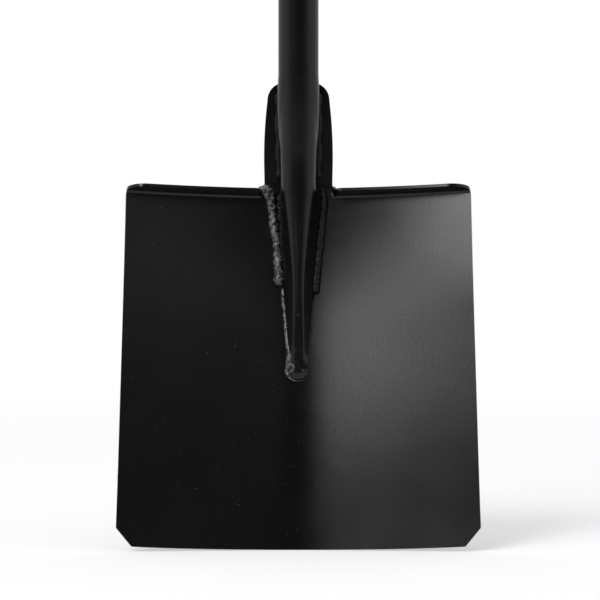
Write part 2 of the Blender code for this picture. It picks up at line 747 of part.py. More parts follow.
# The grip


def collar_mouth():
    return OVERALL_LENGTH - GRIP_HEIGHT


def bar_height():
    return OVERALL_LENGTH - BOSS_RADIUS


def eye_middle():
    """x of the middle of an eye's thickness."""
    return GRIP_WIDTH / 2 - BOSS_WIDTH / 2


def turned(name, profile, collection, material=None, steps=TURN_STEPS):
    """A turned body about its own Z from (radius, height) points that run down its outer side."""
    bm = bmesh.new()
    corners = [bm.verts.new((radius, 0, height)) for radius, height in profile]
    for a, b in zip(corners, corners[1:]):
        bm.edges.new((a, b))
    if profile[0][0] > 0 and profile[-1][0] > 0:
        bm.edges.new((corners[-1], corners[0]))
    mesh = bpy.data.meshes.new(name)
    bm.to_mesh(mesh)
    bm.free()
    item = add_object(name, mesh, collection, material)
    screw = item.modifiers.new("turn", "SCREW")
    screw.axis = "Z"
    screw.angle = 2 * math.pi
    screw.steps = steps
    screw.render_steps = steps
    screw.use_merge_vertices = True
    screw.merge_threshold = 1e-5
    screw.use_smooth_shade = True
    return item


def collar_side():
    """x of the collar's cage, whose six sides become a round collar."""
    return COLLAR_RADIUS * COLLAR_CAGE_RATIO * math.cos(math.pi / 6)


def stem_rings():
    """The collar's half cage as (outer x, inner z, outer z, half depth, corner depth), upwards."""
    side = collar_side()
    front = COLLAR_RADIUS * COLLAR_CAGE_RATIO
    mouth = collar_mouth()
    neck = mouth + COLLAR_DEPTH
    crotch = mouth + CROTCH_HEIGHT
    rings = [(side, z, z, front, front / 2) for z in (mouth, mouth + COLLAR_LAND, neck - COLLAR_LAND)]
    depth = ARM_DEPTH / 2 * ARM_CAGE_RATIO
    rings.append((side, crotch - COLLAR_LAND, crotch - COLLAR_LAND - SHOULDER_DROP, depth, depth / 2))
    return rings


def arm_rings():
    """An arm's cage as (inner x, outer x, inner z, outer z, half depth), from crotch to eye."""
    side = collar_side()
    crotch = collar_mouth() + CROTCH_HEIGHT
    depth = ARM_DEPTH / 2 * ARM_CAGE_RATIO
    rings = []
    for out, up, thick in ARM_PATH:
        x, z = mix(side, eye_middle(), out), mix(crotch, bar_height(), up)
        half = ARM_WIDTH * ARM_CAGE_RATIO * thick / 2
        tilt = half * (1 - out)
        rings.append((x - half, x + half, z + tilt, z - tilt, depth))
    half = BOSS_WIDTH / 2 - BOSS_INSET
    top = bar_height()
    rings.append((eye_middle() - half, eye_middle() + half, top, top, depth))
    return rings


def make_fork_cage():
    """Half of the fork as a coarse cage, open at x = 0 where it is mirrored."""
    bm = bmesh.new()
    rows = []
    for outer, low, high, depth, corner in stem_rings():
        places = ((0, -depth, low), (outer, -corner, high), (outer, corner, high), (0, depth, low))
        rows.append([bm.verts.new(place) for place in places])
    stem_count = len(rows)
    for inner, outer, low, high, depth in arm_rings():
        places = ((inner, -depth, low), (outer, -depth, high), (outer, depth, high), (inner, depth, low))
        rows.append([bm.verts.new(place) for place in places])
    for number, (a, b) in enumerate(zip(rows, rows[1:])):
        sides = 4 if number >= stem_count - 1 else 3
        for i in range(sides):
            j = (i + 1) % 4
            bm.faces.new((a[i], a[j], b[j], b[i]))
    bm.faces.new(rows[0])
    bm.faces.new(rows[-1])
    bmesh.ops.recalc_face_normals(bm, faces=bm.faces)
    crease = bm.edges.layers.float.new("crease_edge")
    for vertex in rows[0]:
        for edge in vertex.link_edges:
            if all(end in rows[0] for end in edge.verts):
                edge[crease] = 1.0
    return bm


def eye_drill_profile():
    """The stepped drill through both eyes: washer seat, rivet hole, pocket for the bar, and back."""
    beyond = GRIP_WIDTH
    spot = GRIP_WIDTH / 2 - SPOT_FACE_DEPTH
    pocket = GRIP_WIDTH / 2 - BOSS_WIDTH + BAR_SEAT + GAP
    washer_seat, hole, bar = WASHER_RADIUS + GAP, RIVET_RADIUS + GAP, BAR_RADIUS + GAP
    half = [(0, beyond), (washer_seat, beyond), (washer_seat, spot), (hole, spot)]
    half += [(hole, pocket), (bar, pocket)]
    return half + [(radius, -height) for radius, height in reversed(half)]


def eye_profile():
    """A disc with rounded rims, as wide as an eye."""
    rim = []
    for i in range(3):
        angle = math.pi / 4 * i
        radius = BOSS_RADIUS - BOSS_EDGE * (1 - math.sin(angle))
        rim.append((radius, BOSS_WIDTH / 2 - BOSS_EDGE * (1 - math.cos(angle))))
    half = [(0, BOSS_WIDTH / 2)] + rim
    return half + [(radius, -height) for radius, height in reversed(half)]


def make_grip_frame(parts, cutters, material):
    bm = make_fork_cage()
    mesh = bpy.data.meshes.new("grip_frame")
    bm.to_mesh(mesh)
    bm.free()
    frame = add_object("grip_frame", mesh, parts, material)
    frame.location = (0, shaft_axis(), 0)
    mirror = frame.modifiers.new("both_arms", "MIRROR")
    mirror.use_axis = (True, False, False)
    mirror.use_clip = True
    mirror.merge_threshold = 0.0001
    soft = frame.modifiers.new("soft_form", "SUBSURF")
    soft.levels = 2
    soft.render_levels = 2
    for name, side in (("left_eye", -1), ("right_eye", 1)):
        eye = as_cutter(turned(name, eye_profile(), cutters))
        eye.rotation_euler = (0, math.pi / 2, 0)
        eye.location = (side * eye_middle(), shaft_axis(), bar_height())
        join(frame, eye)
    radius = TUBE_RADIUS + GAP
    depth = COLLAR_DEPTH + GAP
    bore = turned("collar_bore", [(0, depth), (radius, depth), (radius, -depth), (0, -depth)], cutters)
    bore.location = (0, shaft_axis(), collar_mouth())
    cut(frame, as_cutter(bore))
    hole = cross_pin("collar_rivet_hole", COLLAR_RIVET_RADIUS + GAP, 4 * COLLAR_RADIUS, cutters)
    cut(frame, as_cutter(hole))
    drill = turned("eye_drill", eye_drill_profile(), cutters)
    drill.rotation_euler = (0, math.pi / 2, 0)
    drill.location = (0, shaft_axis(), bar_height())
    cut(frame, as_cutter(drill))
    return frame


def sleeve_profile():
    """The sleeve: a lip at each end and a slightly swollen middle, round the crossbar."""
    end = GRIP_WIDTH / 2 - BOSS_WIDTH - GAP
    waist = end - SLEEVE_LIP_WIDTH - SLEEVE_LIP_SLOPE
    half = [(SLEEVE_LIP - SLEEVE_LIP_EDGE, end), (SLEEVE_LIP, end - SLEEVE_LIP_EDGE)]
    half += [(SLEEVE_LIP, end - SLEEVE_LIP_WIDTH), (SLEEVE_WAIST, waist)]
    middle = []
    for i in range(1, SLEEVE_STEPS):
        t = 2 * i / SLEEVE_STEPS - 1
        middle.append((mix(SLEEVE_RADIUS, SLEEVE_WAIST, t * t), -waist * t))
    bore = BAR_RADIUS + GAP
    lower = [(radius, -height) for radius, height in reversed(half)]
    return half + middle + lower + [(bore, -end), (bore, end)]


def rivet_profile(radius, head_radius, head_height, under_head):
    """A rivet with the same domed head at both ends."""
    half = []
    for i in range(HEAD_STEPS + 1):
        angle = math.pi / 2 * i / HEAD_STEPS
        half.append((head_radius * math.sin(angle), under_head + head_height * math.cos(angle)))
    half.append((radius, under_head))
    return half + [(r, -height) for r, height in reversed(half)]


def make_crossbar(parts, materials):
    seat = GRIP_WIDTH / 2 - BOSS_WIDTH + BAR_SEAT
    inner = BAR_RADIUS - BAR_WALL
    bar = [(BAR_RADIUS, seat), (BAR_RADIUS, -seat), (inner, -seat), (inner, seat)]
    under_head = GRIP_WIDTH / 2 - SPOT_FACE_DEPTH + WASHER_THICKNESS + 2 * GAP
    rivet = rivet_profile(RIVET_RADIUS, RIVET_HEAD_RADIUS, RIVET_HEAD_HEIGHT, under_head)
    for name, profile, key in (
        ("crossbar_tube", bar, "zinc"),
        ("grip_sleeve", sleeve_profile(), "soft"),
        ("crossbar_rivet", rivet, "zinc"),
    ):
        item = turned(name, profile, parts, materials[key])
        item.rotation_euler = (0, math.pi / 2, 0)
        item.location = (0, shaft_axis(), bar_height())


def make_washers(parts, materials):
    seat = GRIP_WIDTH / 2 - SPOT_FACE_DEPTH + GAP
    for name, side in (("crossbar_washer_left", -1), ("crossbar_washer_right", 1)):
        item = washer(name, RIVET_RADIUS + GAP, WASHER_RADIUS, WASHER_THICKNESS, parts, materials)
        item.rotation_euler = (0, side * math.pi / 2, 0)
        item.location = (side * seat, shaft_axis(), bar_height())
    seat = COLLAR_RADIUS + GAP
    for name, side in (("collar_washer_front", -1), ("collar_washer_back", 1)):
        item = washer(
            name,
            COLLAR_RIVET_RADIUS + GAP,
            COLLAR_WASHER_RADIUS,
            COLLAR_WASHER_THICKNESS,
            parts,
            materials,
        )
        item.rotation_euler = (-side * math.pi / 2, 0, 0)
        item.location = (0, shaft_axis() + side * seat, collar_mouth() + COLLAR_RIVET_HEIGHT)


def washer(name, bore, radius, thickness, parts, materials):
    profile = [(radius, thickness), (radius, 0), (bore, 0), (bore, thickness)]
    return turned(name, profile, parts, materials["zinc"], TURN_STEPS // 2)


def make_collar_rivet(parts, materials):
    under_head = COLLAR_RADIUS + COLLAR_WASHER_THICKNESS + 2 * GAP
    profile = rivet_profile(COLLAR_RIVET_RADIUS, COLLAR_HEAD_RADIUS, COLLAR_HEAD_HEIGHT, under_head)
    item = turned("collar_rivet", profile, parts, materials["zinc"], TURN_STEPS // 2)
    item.rotation_euler = (math.pi / 2, 0, 0)
    item.location = (0, shaft_axis(), collar_mouth() + COLLAR_RIVET_HEIGHT)


def make_collar_ring(parts, materials):
    """The soft ring under the collar's mouth, rounded off downwards."""
    inner = TUBE_RADIUS + GAP
    profile = []
    for i in range(HEAD_STEPS):
        angle = math.pi / 2 * i / HEAD_STEPS
        profile.append((inner + RING_THICKNESS * math.cos(angle), -GAP - RING_HEIGHT * math.sin(angle)))
    profile += [(inner, -GAP - RING_HEIGHT), (inner, -GAP)]
    ring = turned("collar_ring", profile, parts, materials["soft"])
    ring.location = (0, shaft_axis(), collar_mouth())


def make_plug(parts, cutters, materials):
    """The grooved plug in the tube's top end."""
    bore = TUBE_RADIUS - TUBE_WALL - GAP
    profile = [(0, 0), (bore - PLUG_EDGE, 0), (bore, -PLUG_EDGE)]
    for i in range(1, PLUG_GROOVES + 1):
        middle = -PLUG_LENGTH * i / (PLUG_GROOVES + 1)
        for radius, height in ((bore, 1), (bore - PLUG_GROOVE, 0.5), (bore - PLUG_GROOVE, -0.5), (bore, -1)):
            profile.append((radius, middle + height * PLUG_GROOVE_HALF))
    profile += [(bore, PLUG_LEAD - PLUG_LENGTH), (bore - PLUG_LEAD, -PLUG_LENGTH), (0, -PLUG_LENGTH)]
    plug = turned("shaft_plug", profile, parts, materials["moulded"])
    plug.location = (0, shaft_axis(), shaft_top() - GAP)
    hole = cross_pin("plug_rivet_hole", COLLAR_RIVET_RADIUS + GAP, 4 * TUBE_RADIUS, cutters)
    cut(plug, as_cutter(hole))


def main():
    clear_scene()
    parts = new_collection("digging_spade")
    cutters = new_collection("cutters")
    coated = make_material("coated_steel", STEEL_BLACK, 0.38, 0.0)
    materials = {
        "zinc": make_material("zinc_plated_steel", ZINC_GREY, 0.35, 1.0),
        "moulded": make_material("moulded_plastic", MOULDED_BLACK, 0.5, 0.0),
        "soft": make_material("soft_sleeve", SOFT_BLACK, 0.75, 0.0),
    }
    make_blade(parts, coated)
    make_shaft(parts, cutters, coated)
    make_front_beads(parts, coated)
    make_tip_bead(parts, coated)
    make_tongue_beads(parts, coated)
    make_grip_frame(parts, cutters, materials["moulded"])
    make_crossbar(parts, materials)
    make_washers(parts, materials)
    make_collar_rivet(parts, materials)
    make_collar_ring(parts, materials)
    make_plug(parts, cutters, materials)


main()
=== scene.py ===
# %% [markdown]
# # A digging spade, dressed
# The spade is already built as plain solids. This lesson gives each of them its real surface:
# the pressed sheet, the drawn-down tube, the welds, the moulded grip, and a black powder coat over
# all the steel. Everything is in metres and in the solids' own frame, so nothing has to be fitted:
# +Z runs up the shaft, -Y is forward and the origin is the middle of the cutting edge.

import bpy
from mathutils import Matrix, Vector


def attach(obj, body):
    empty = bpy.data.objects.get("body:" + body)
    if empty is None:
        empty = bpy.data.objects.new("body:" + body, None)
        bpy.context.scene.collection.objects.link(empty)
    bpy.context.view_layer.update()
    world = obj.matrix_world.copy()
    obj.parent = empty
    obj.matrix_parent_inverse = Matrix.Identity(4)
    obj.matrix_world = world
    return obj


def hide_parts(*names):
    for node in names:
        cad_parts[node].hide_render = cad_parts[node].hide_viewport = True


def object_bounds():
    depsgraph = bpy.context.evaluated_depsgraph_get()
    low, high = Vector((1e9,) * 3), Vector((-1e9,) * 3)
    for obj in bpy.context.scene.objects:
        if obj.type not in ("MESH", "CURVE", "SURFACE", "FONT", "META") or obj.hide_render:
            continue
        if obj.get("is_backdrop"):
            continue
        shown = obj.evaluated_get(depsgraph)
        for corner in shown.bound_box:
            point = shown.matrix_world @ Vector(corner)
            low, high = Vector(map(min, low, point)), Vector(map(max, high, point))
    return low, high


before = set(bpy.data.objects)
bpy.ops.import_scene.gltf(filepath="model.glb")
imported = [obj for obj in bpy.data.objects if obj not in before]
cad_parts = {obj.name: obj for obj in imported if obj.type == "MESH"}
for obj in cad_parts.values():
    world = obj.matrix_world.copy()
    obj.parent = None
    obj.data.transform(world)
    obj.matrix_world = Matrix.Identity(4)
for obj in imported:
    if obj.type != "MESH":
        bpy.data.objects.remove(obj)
cad_low, cad_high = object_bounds()
print("solids:", len(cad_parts), "from", tuple(cad_low), "to", tuple(cad_high))

# %% The modules of this lesson
import math

import bmesh
import bpy
from mathutils import Matrix, Vector
from mathutils import noise as noise_module

# %% [markdown]
# ## Camera
# A product photo of a tool is taken from far away with a long lens, so that its sides stay
# parallel. The camera stands level in front of the blade, at the height of the image's middle, and
# looks along +Y. The lens follows from the image's scale: how many pixels wide a metre is, at the
# distance of the shaft.

# %% The camera
IMAGE_SIDE = 600
FOCAL_PIXELS = 2658.5
CAMERA_PLACE = (0.0011, -1.800, 0.169)

camera_data = bpy.data.cameras.new("camera")
camera_data.sensor_width = 36
camera_data.lens = 36 * FOCAL_PIXELS / IMAGE_SIDE
camera = bpy.data.objects.new("camera", camera_data)
camera.location = CAMERA_PLACE
camera.rotation_euler = (math.pi / 2, 0, 0)
bpy.context.scene.collection.objects.link(camera)
bpy.context.scene.camera = camera
bpy.context.scene.view_settings.view_transform = "Standard"
print("lens", round(camera_data.lens, 1), "mm")

# %% [markdown]
# ## Node trees as expressions
# Materials and geometry trees need a lot of arithmetic. Placing Math nodes one by one hides the
# formula, so one small class wraps a socket and lets Python's own operators add the nodes. Any
# other node comes from one method that takes its type, its settings and what its sockets get.


# %% A socket that can be reckoned with
class Wire:
    """An output socket in a tree. Arithmetic on it adds Math nodes."""

    def __init__(self, board, socket):
        self.board = board
        self.socket = socket

    def __add__(self, other):
        return self.board.math("ADD", self, other)

    def __sub__(self, other):
        return self.board.math("SUBTRACT", self, other)

    def __rsub__(self, other):
        return self.board.math("SUBTRACT", other, self)

    def __mul__(self, other):
        return self.board.math("MULTIPLY", self, other)

    def __truediv__(self, other):
        return self.board.math("DIVIDE", self, other)

    def __rtruediv__(self, other):
        return self.board.math("DIVIDE", other, self)

    def __pow__(self, other):
        return self.board.math("POWER", self, other)

    __radd__ = __add__
    __rmul__ = __mul__

    def also(self, name):
        """Another output of the same node."""
        return Wire(self.board, self.socket.node.outputs[name])


# %% The board that nodes are placed on
class Board:
    """A node tree that is being written."""

    def __init__(self, tree):
        self.tree = tree

    def add(self, kind, settings=None, sockets=None, out=0):
        """Adds a node: its settings first, then the values or wires of its sockets."""
        node = self.tree.nodes.new(kind)
        for name, value in (settings or {}).items():
            if name == "stops":
                self.set_stops(node.color_ramp, value)
            else:
                setattr(node, name, value)
        for name, value in (sockets or {}).items():
            socket = node.inputs[name]
            if isinstance(value, Wire):
                self.tree.links.new(value.socket, socket)
            else:
                socket.default_value = value
        return Wire(self, node.outputs[out]) if node.outputs else node

    def set_stops(self, ramp, stops):
        while len(ramp.elements) > 1:
            ramp.elements.remove(ramp.elements[-1])
        for number, (position, colour) in enumerate(stops):
            stop = ramp.elements[0] if number == 0 else ramp.elements.new(position)
            stop.position = position
            stop.color = (*colour, 1)

    def math(self, operation, *values):
        return self.add("ShaderNodeMath", {"operation": operation}, dict(enumerate(values)))

    def smooth(self, value, low, high):
        """0 below low, 1 above high and a smooth step between them."""
        settings = {"interpolation_type": "SMOOTHSTEP"}
        return self.add(
            "ShaderNodeMapRange", settings, {"Value": value, "From Min": low, "From Max": high}
        )

    def blend(self, a, b, share):
        """Goes from the value a to the value b."""
        return a + (b - a) * share

    def blend_colours(self, share, a, b):
        """Goes from the colour a to the colour b."""
        colours = {0: share, 6: a, 7: b}
        return self.add("ShaderNodeMix", {"data_type": "RGBA"}, colours, out=2)

    def apart(self, vector):
        """The three numbers of a vector."""
        x = self.add("ShaderNodeSeparateXYZ", None, {"Vector": vector})
        return x, x.also("Y"), x.also("Z")

    def together(self, x, y, z):
        return self.add("ShaderNodeCombineXYZ", None, {"X": x, "Y": y, "Z": z})


print("node helpers ready")

# %% [markdown]
# ## The studio
# Black paint has almost no colour of its own: what the eye sees on it is the studio. The photo
# tells where the lights were. Both flanks of the shaft carry an even grey band and its front is
# almost black, so the walls at the sides are white and the side with the camera is dark. The right
# half of the blade faces left and upwards and carries a broad highlight, so a tall soft box stands
# high on the left, and a small one fills in from the right. A dark screen above the camera and a
# pale strip of wall just over it give the tube its dark front and its soft grey foot. The shadow on
# the floor comes from a broad sun that doesn't show in the paint.

# %% The world
WALL_LEVEL = 0.57
FRONT_LEVEL = 0.0
FRONT_DARK = -0.999  # where the dark front begins and ends, as the y of a direction
FRONT_LIGHT = -0.276
CEILING_LEVEL = 0.58  # what the ceiling adds straight overhead
SCREEN_SHARE = 0.75  # how much of the light a dark screen above the camera takes away
GLOW_LEVEL = 0.17  # a pale strip of wall just above the camera
WORLD_FOR_DIFFUSE = 0.60
SCREEN_START = (0.34, 0.44)  # where the screen begins and where it ends, as the z of a direction
SCREEN_END = (0.60, 0.75)
SCREEN_SIDE = (0.15, 0.25)  # how far it reaches to each side, as the x of a direction
GLOW_START = (0.14, 0.20)  # the same for the pale strip
GLOW_END = (0.24, 0.36)
GLOW_SIDE = (0.30, 0.60)
GLOW_SHIFT = 0.10  # how far to the left the strip's middle lies

world = bpy.data.worlds.new("studio")
bpy.context.scene.world = world
world.use_nodes = True
world.node_tree.nodes.clear()
sky = Board(world.node_tree)
direction = sky.add("ShaderNodeTexCoord", out="Generated")
sideways, depthwise, upwards = sky.apart(direction)
walls = sky.blend(FRONT_LEVEL, WALL_LEVEL, sky.smooth(depthwise, FRONT_DARK, FRONT_LIGHT))
above = sky.math("MAXIMUM", upwards, 0.0)
aside = sky.math("ABSOLUTE", sideways)
overhead = sky.smooth(upwards, *SCREEN_START) * (1 - sky.smooth(upwards, *SCREEN_END))
screen = SCREEN_SHARE * overhead * (1 - sky.smooth(aside, *SCREEN_SIDE))
low = sky.smooth(upwards, *GLOW_START) * (1 - sky.smooth(upwards, *GLOW_END))
beside_glow = sky.math("ABSOLUTE", sideways + GLOW_SHIFT)
glow = GLOW_LEVEL * low * (1 - sky.smooth(beside_glow, *GLOW_SIDE))
room = (walls + CEILING_LEVEL * above * above) * (1 - screen) + glow
ray = sky.add("ShaderNodeLightPath", out="Is Camera Ray")
level = sky.blend(room, WORLD_FOR_DIFFUSE, ray.also("Is Diffuse Ray"))
level = sky.blend(level, 1.0, ray)
background = sky.add("ShaderNodeBackground", None, {"Color": (1, 1, 1, 1), "Strength": level})
sky.add("ShaderNodeOutputWorld", None, {"Surface": background})
print("world with", len(world.node_tree.nodes), "nodes")


# %% The lights
BLADE_MIDDLE = Vector((0, 0.03, 0.15))


def towards(azimuth, elevation):
    """Azimuth 0 is behind the camera and grows to the right."""
    a, e = math.radians(azimuth), math.radians(elevation)
    return Vector((math.sin(a) * math.cos(e), -math.cos(a) * math.cos(e), math.sin(e)))


def add_light(name, kind, azimuth, elevation, distance, energy):
    data = bpy.data.lights.new(name, kind)
    data.energy = energy
    item = bpy.data.objects.new(name, data)
    outwards = towards(azimuth, elevation)
    item.location = BLADE_MIDDLE + distance * outwards
    item.rotation_euler = outwards.to_track_quat("Z", "Y").to_euler()
    item.visible_camera = False
    bpy.context.scene.collection.objects.link(item)
    return item


def add_soft_box(name, azimuth, elevation, distance, width, height, brightness):
    """A glowing rectangle that faces the blade; brightness is that of its surface."""
    energy = brightness * math.pi * width * height
    item = add_light(name, "AREA", azimuth, elevation, distance, energy)
    item.data.shape = "RECTANGLE"
    item.data.size = width
    item.data.size_y = height


add_soft_box("main_box", -26.1, 32.4, distance=4.47, width=1.09, height=2.02, brightness=5.74)
add_soft_box("fill_box", 46.0, 30.2, distance=2.5, width=1.0, height=0.42, brightness=0.13)
sun = add_light("shadow_sun", "SUN", azimuth=-35, elevation=38, distance=5, energy=1.1)
sun.data.angle = math.radians(30)
sun.visible_glossy = False
print("two soft boxes and a sun")

# %% The floor
FLOOR_HALF = 40.0
FLOOR_TONE = 0.70
FLOOR_LIFT_NEAR = 0.36  # what the floor glows by towards the camera, so that it meets the white
FLOOR_LIFT_FAR = 0.46  # behind it, near the spade and far from it
LIFT_REACH = (1.0, 5.0)

corners = [(-1, -1), (1, -1), (1, 1), (-1, 1)]
floor_mesh = bpy.data.meshes.new("floor")
places = [(x * FLOOR_HALF, y * FLOOR_HALF, cad_low.z) for x, y in corners]
floor_mesh.from_pydata(places, [], [(0, 1, 2, 3)])
floor = bpy.data.objects.new("floor", floor_mesh)
bpy.context.scene.collection.objects.link(floor)
floor_paint = bpy.data.materials.new("floor_paper")
floor_paint.use_nodes = True
floor_paint.node_tree.nodes.clear()
paper = Board(floor_paint.node_tree)
matt = paper.add("ShaderNodeBsdfDiffuse", None, {"Color": (*[FLOOR_TONE] * 3, 1)})
seen = paper.add("ShaderNodeLightPath", out="Is Camera Ray")
spot = paper.add("ShaderNodeTexCoord", out="Object")
away = paper.add("ShaderNodeVectorMath", {"operation": "LENGTH"}, {0: spot}, "Value")
lift = paper.blend(FLOOR_LIFT_NEAR, FLOOR_LIFT_FAR, paper.smooth(away, *LIFT_REACH))
glow = paper.add("ShaderNodeEmission", None, {"Strength": seen * lift})
both = paper.add("ShaderNodeAddShader", None, {0: matt, 1: glow})
paper.add("ShaderNodeOutputMaterial", None, {"Surface": both})
floor_mesh.materials.append(floor_paint)
floor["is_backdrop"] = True
print("floor at", round(cad_low.z, 5))

# %% [markdown]
# ## Powder coat
# The blade, the tube and the welds got one coat of black powder that was baked in an oven. It is
# satin, and it isn't flat: it flowed while it melted, which leaves a faint orange peel about a
# millimetre across, and here and there a speck of dust stands in it. A picture of paint would show
# its pixels close up, so the peel, the slow change in gloss and the specks are all noise that is
# worked out from the place on the piece.


# %% Start a material
def new_material(name):
    """A material with an empty Principled shader: (material, board, place on the piece)."""
    material = bpy.data.materials.new(name)
    material.use_nodes = True
    material.node_tree.nodes.clear()
    board = Board(material.node_tree)
    place = board.add("ShaderNodeTexCoord", out="Object")
    return material, board, place


def noise(board, place, size, detail=2.0, rough=0.5):
    """Noise between 0 and 1 whose features are about size across."""
    sockets = {"Vector": place, "Scale": 1 / size, "Detail": detail, "Roughness": rough}
    return board.add("ShaderNodeTexNoise", None, sockets)


def finish_material(board, colour, roughness, height, relief, constants):
    """Joins the parts of a finish to the Principled shader."""
    sockets = {"Base Color": colour, "Roughness": roughness}
    sockets.update(constants)
    sockets["Normal"] = board.add(
        "ShaderNodeBump", None, {"Strength": 1.0, "Distance": relief, "Height": height}
    )
    shader = board.add("ShaderNodeBsdfPrincipled", None, sockets)
    board.add("ShaderNodeOutputMaterial", None, {"Surface": shader})


# %% The coat
PEEL_SIZE = 0.0016
PEEL_DEPTH = 0.000018
SPECK_SIZE = 0.0011
# size of the patches of painted highlight on the welds' left side
PAINTED_HIGHLIGHT_SIZE = 0.0030
DRIFT_SIZE = 0.030
SPECK_EDGE = (0.83, 0.86)  # the noise above which a speck of dust stands
SPECK_COLOUR = (0.05, 0.05, 0.05, 1)
# the noise above which a patch of painted highlight shows
PAINTED_HIGHLIGHT_EDGE = (0.40, 0.64)
PAINTED_HIGHLIGHT_SIDE = (-0.006, 0.001)  # the x over which the painted highlight on the welds' left side ends


def powder_coat(name, tone, gloss, peel_depth, painted_highlight_tone=0.0, ior=1.5):
    """Black powder coat: gloss is its roughness, peel_depth how deep the orange peel is.

    The highlight tone paints pale patches on the left side of the welds: a painted highlight where
    the main light from the left glints on them.
    """
    material, board, place = new_material(name)
    peel = noise(board, place, PEEL_SIZE, detail=1.5)
    drift = noise(board, place, DRIFT_SIZE, detail=3.0)
    fine = noise(board, place, SPECK_SIZE, detail=0.0)
    speck = board.smooth(fine, *SPECK_EDGE)
    dark = (tone, tone, tone * 1.02, 1)
    pale = (tone * 1.7, tone * 1.7, tone * 1.75, 1)
    colour = board.blend_colours(board.smooth(drift, 0.35, 0.70), dark, pale)
    colour = board.blend_colours(speck * 0.5, colour, SPECK_COLOUR)
    # Painted highlight: pale patches on the left side of the welds, where the main light falls.
    if painted_highlight_tone:
        side = board.apart(place)[0]
        painted_highlight = board.smooth(noise(board, place, PAINTED_HIGHLIGHT_SIZE, detail=1.0), *PAINTED_HIGHLIGHT_EDGE)
        painted_highlight = painted_highlight * (1 - board.smooth(side, *PAINTED_HIGHLIGHT_SIDE))
        colour = board.blend_colours(painted_highlight, colour, (painted_highlight_tone, painted_highlight_tone, painted_highlight_tone, 1))
    roughness = gloss + 0.08 * (drift - 0.5) - 0.10 * speck
    height = peel + 1.5 * speck
    finish_material(board, colour, roughness, height, peel_depth, {"IOR": ior})
    return material


coat = powder_coat("black_powder_coat", 0.0008, 0.20, PEEL_DEPTH)
# The welds' coat carries a painted highlight on their left side.
weld_coat = powder_coat("coated_weld", 0.004, 0.20, PEEL_DEPTH, painted_highlight_tone=0.10, ior=1.8)
dull_weld_coat = powder_coat("dull_coated_weld", 0.0008, 0.36, PEEL_DEPTH, ior=1.36)
print("coats:", coat.name, weld_coat.name, dull_weld_coat.name)

# %% [markdown]
# ## Sizes of the pressed steel
# The finished surfaces have to lie exactly where the solids are, so the same measures are written
# down once more: the flat blank, the fold of the treads, the trough down the middle and the bend
# of the tongue. All of them are in metres.

# %% Measures of the blade
GAP = 0.0003
SHEET = 0.002
BLADE_LENGTH = 0.250
EDGE_WIDTH = 0.246
TOP_WIDTH = 0.240
SIDE_HOLLOW = 0.0005
BLADE_LEAN = math.radians(15)
DISH_DEPTH = 0.0155
DISH_SWELL = 0.19
CREASE_ROUND = 0.0135
EDGE_ROLL = 0.14
TREAD_ROLL = 0.77
TREAD_ROLL_START = 0.61
EDGE_BOW = 0.00074
CORNER_CUT_WIDTH = 0.0108
CORNER_CUT_HEIGHT = 0.0122
CORNER_CUT_ROUND = 0.0018
TREAD_REACH = 0.012
TREAD_FOLD = 0.0025
TREAD_ANGLE = math.radians(90)
TREAD_CORNER = 0.0167
TONGUE_HEIGHT = 0.080
TONGUE_NECK_WIDTH = 0.0460
TONGUE_BELLY_WIDTH = 0.0482
TONGUE_TOP_WIDTH = 0.0400
TONGUE_BELLY_SHARE = 0.37
TONGUE_CORNER = 0.0125
TONGUE_BEND = 0.040
NOTCH_DEPTH = 0.0056
NOTCH_MOUTH = 0.0036
NOTCH_FLOOR = 0.0022
NOTCH_ROUND = 0.0009
NOTCH_LIP = 0.0015
NECK_BLEND = 0.0037

# %% Measures that follow from them
HALF_SHEET = SHEET / 2
TREAD_BEND = TREAD_FOLD + HALF_SHEET
TREAD_ARC = TREAD_BEND * TREAD_ANGLE
FOLD_START = BLADE_LENGTH + HALF_SHEET - TREAD_BEND
FREE_EDGE = FOLD_START + TREAD_ARC + TREAD_REACH + HALF_SHEET - TREAD_BEND
NECK_INNER = TONGUE_BELLY_WIDTH / 2
NECK_OUTER = NECK_INNER + NECK_BLEND
TONGUE_TOP = BLADE_LENGTH + TONGUE_HEIGHT
UP_BLADE = Vector((0, math.sin(BLADE_LEAN), math.cos(BLADE_LEAN)))
OUT_OF_BLADE = Vector((0, -math.cos(BLADE_LEAN), math.sin(BLADE_LEAN)))
print("fold from", round(FOLD_START, 4), "free edge", round(FREE_EDGE, 4))

# %% [markdown]
# ## The blank
# A spade blade starts as a flat piece of sheet steel, punched to its outline: nearly square, with
# two cut corners at the cutting edge, and a tongue that will stand behind the shaft. It could be
# modelled in its final shape at once, but then the edges of treads and tongue would have to be
# found by eye. Cutting the flat outline first and pressing it afterwards is how the works do it,
# and it gives the rims for free. The flat face is cut into a grid, because a press can only bend
# what has points to move.


# %% The outline of the blank
def mix(a, b, t):
    return a + (b - a) * t


def between(low, high, count):
    return [mix(low, high, i / count) for i in range(count + 1)]


def smooth_step(t):
    t = min(max(t, 0.0), 1.0)
    return t * t * (3 - 2 * t)


def side_at(along):
    """Half the blank's width at a distance from the cutting edge."""
    t = along / BLADE_LENGTH
    return mix(EDGE_WIDTH, TOP_WIDTH, t) / 2 - SIDE_HOLLOW * 4 * t * (1 - min(t, 1))


def edge_at(x):
    """How far along the blank its cutting edge lies: each half bows down a little."""
    share = 2 * abs(x) / EDGE_WIDTH
    return -EDGE_BOW * share**1.5 * (1 - share) / (0.6**1.5 * 0.4)


def tongue_half(along):
    """Half the tongue's width: a parabola through its neck, its belly and its top."""
    t = (along - BLADE_LENGTH) / TONGUE_HEIGHT
    s = TONGUE_BELLY_SHARE
    to_belly = TONGUE_BELLY_WIDTH - TONGUE_NECK_WIDTH
    to_top = TONGUE_TOP_WIDTH - TONGUE_NECK_WIDTH
    curve = (to_belly / s - to_top) / (s - 1)
    return (TONGUE_NECK_WIDTH + (to_top - curve) * t + curve * t * t) / 2


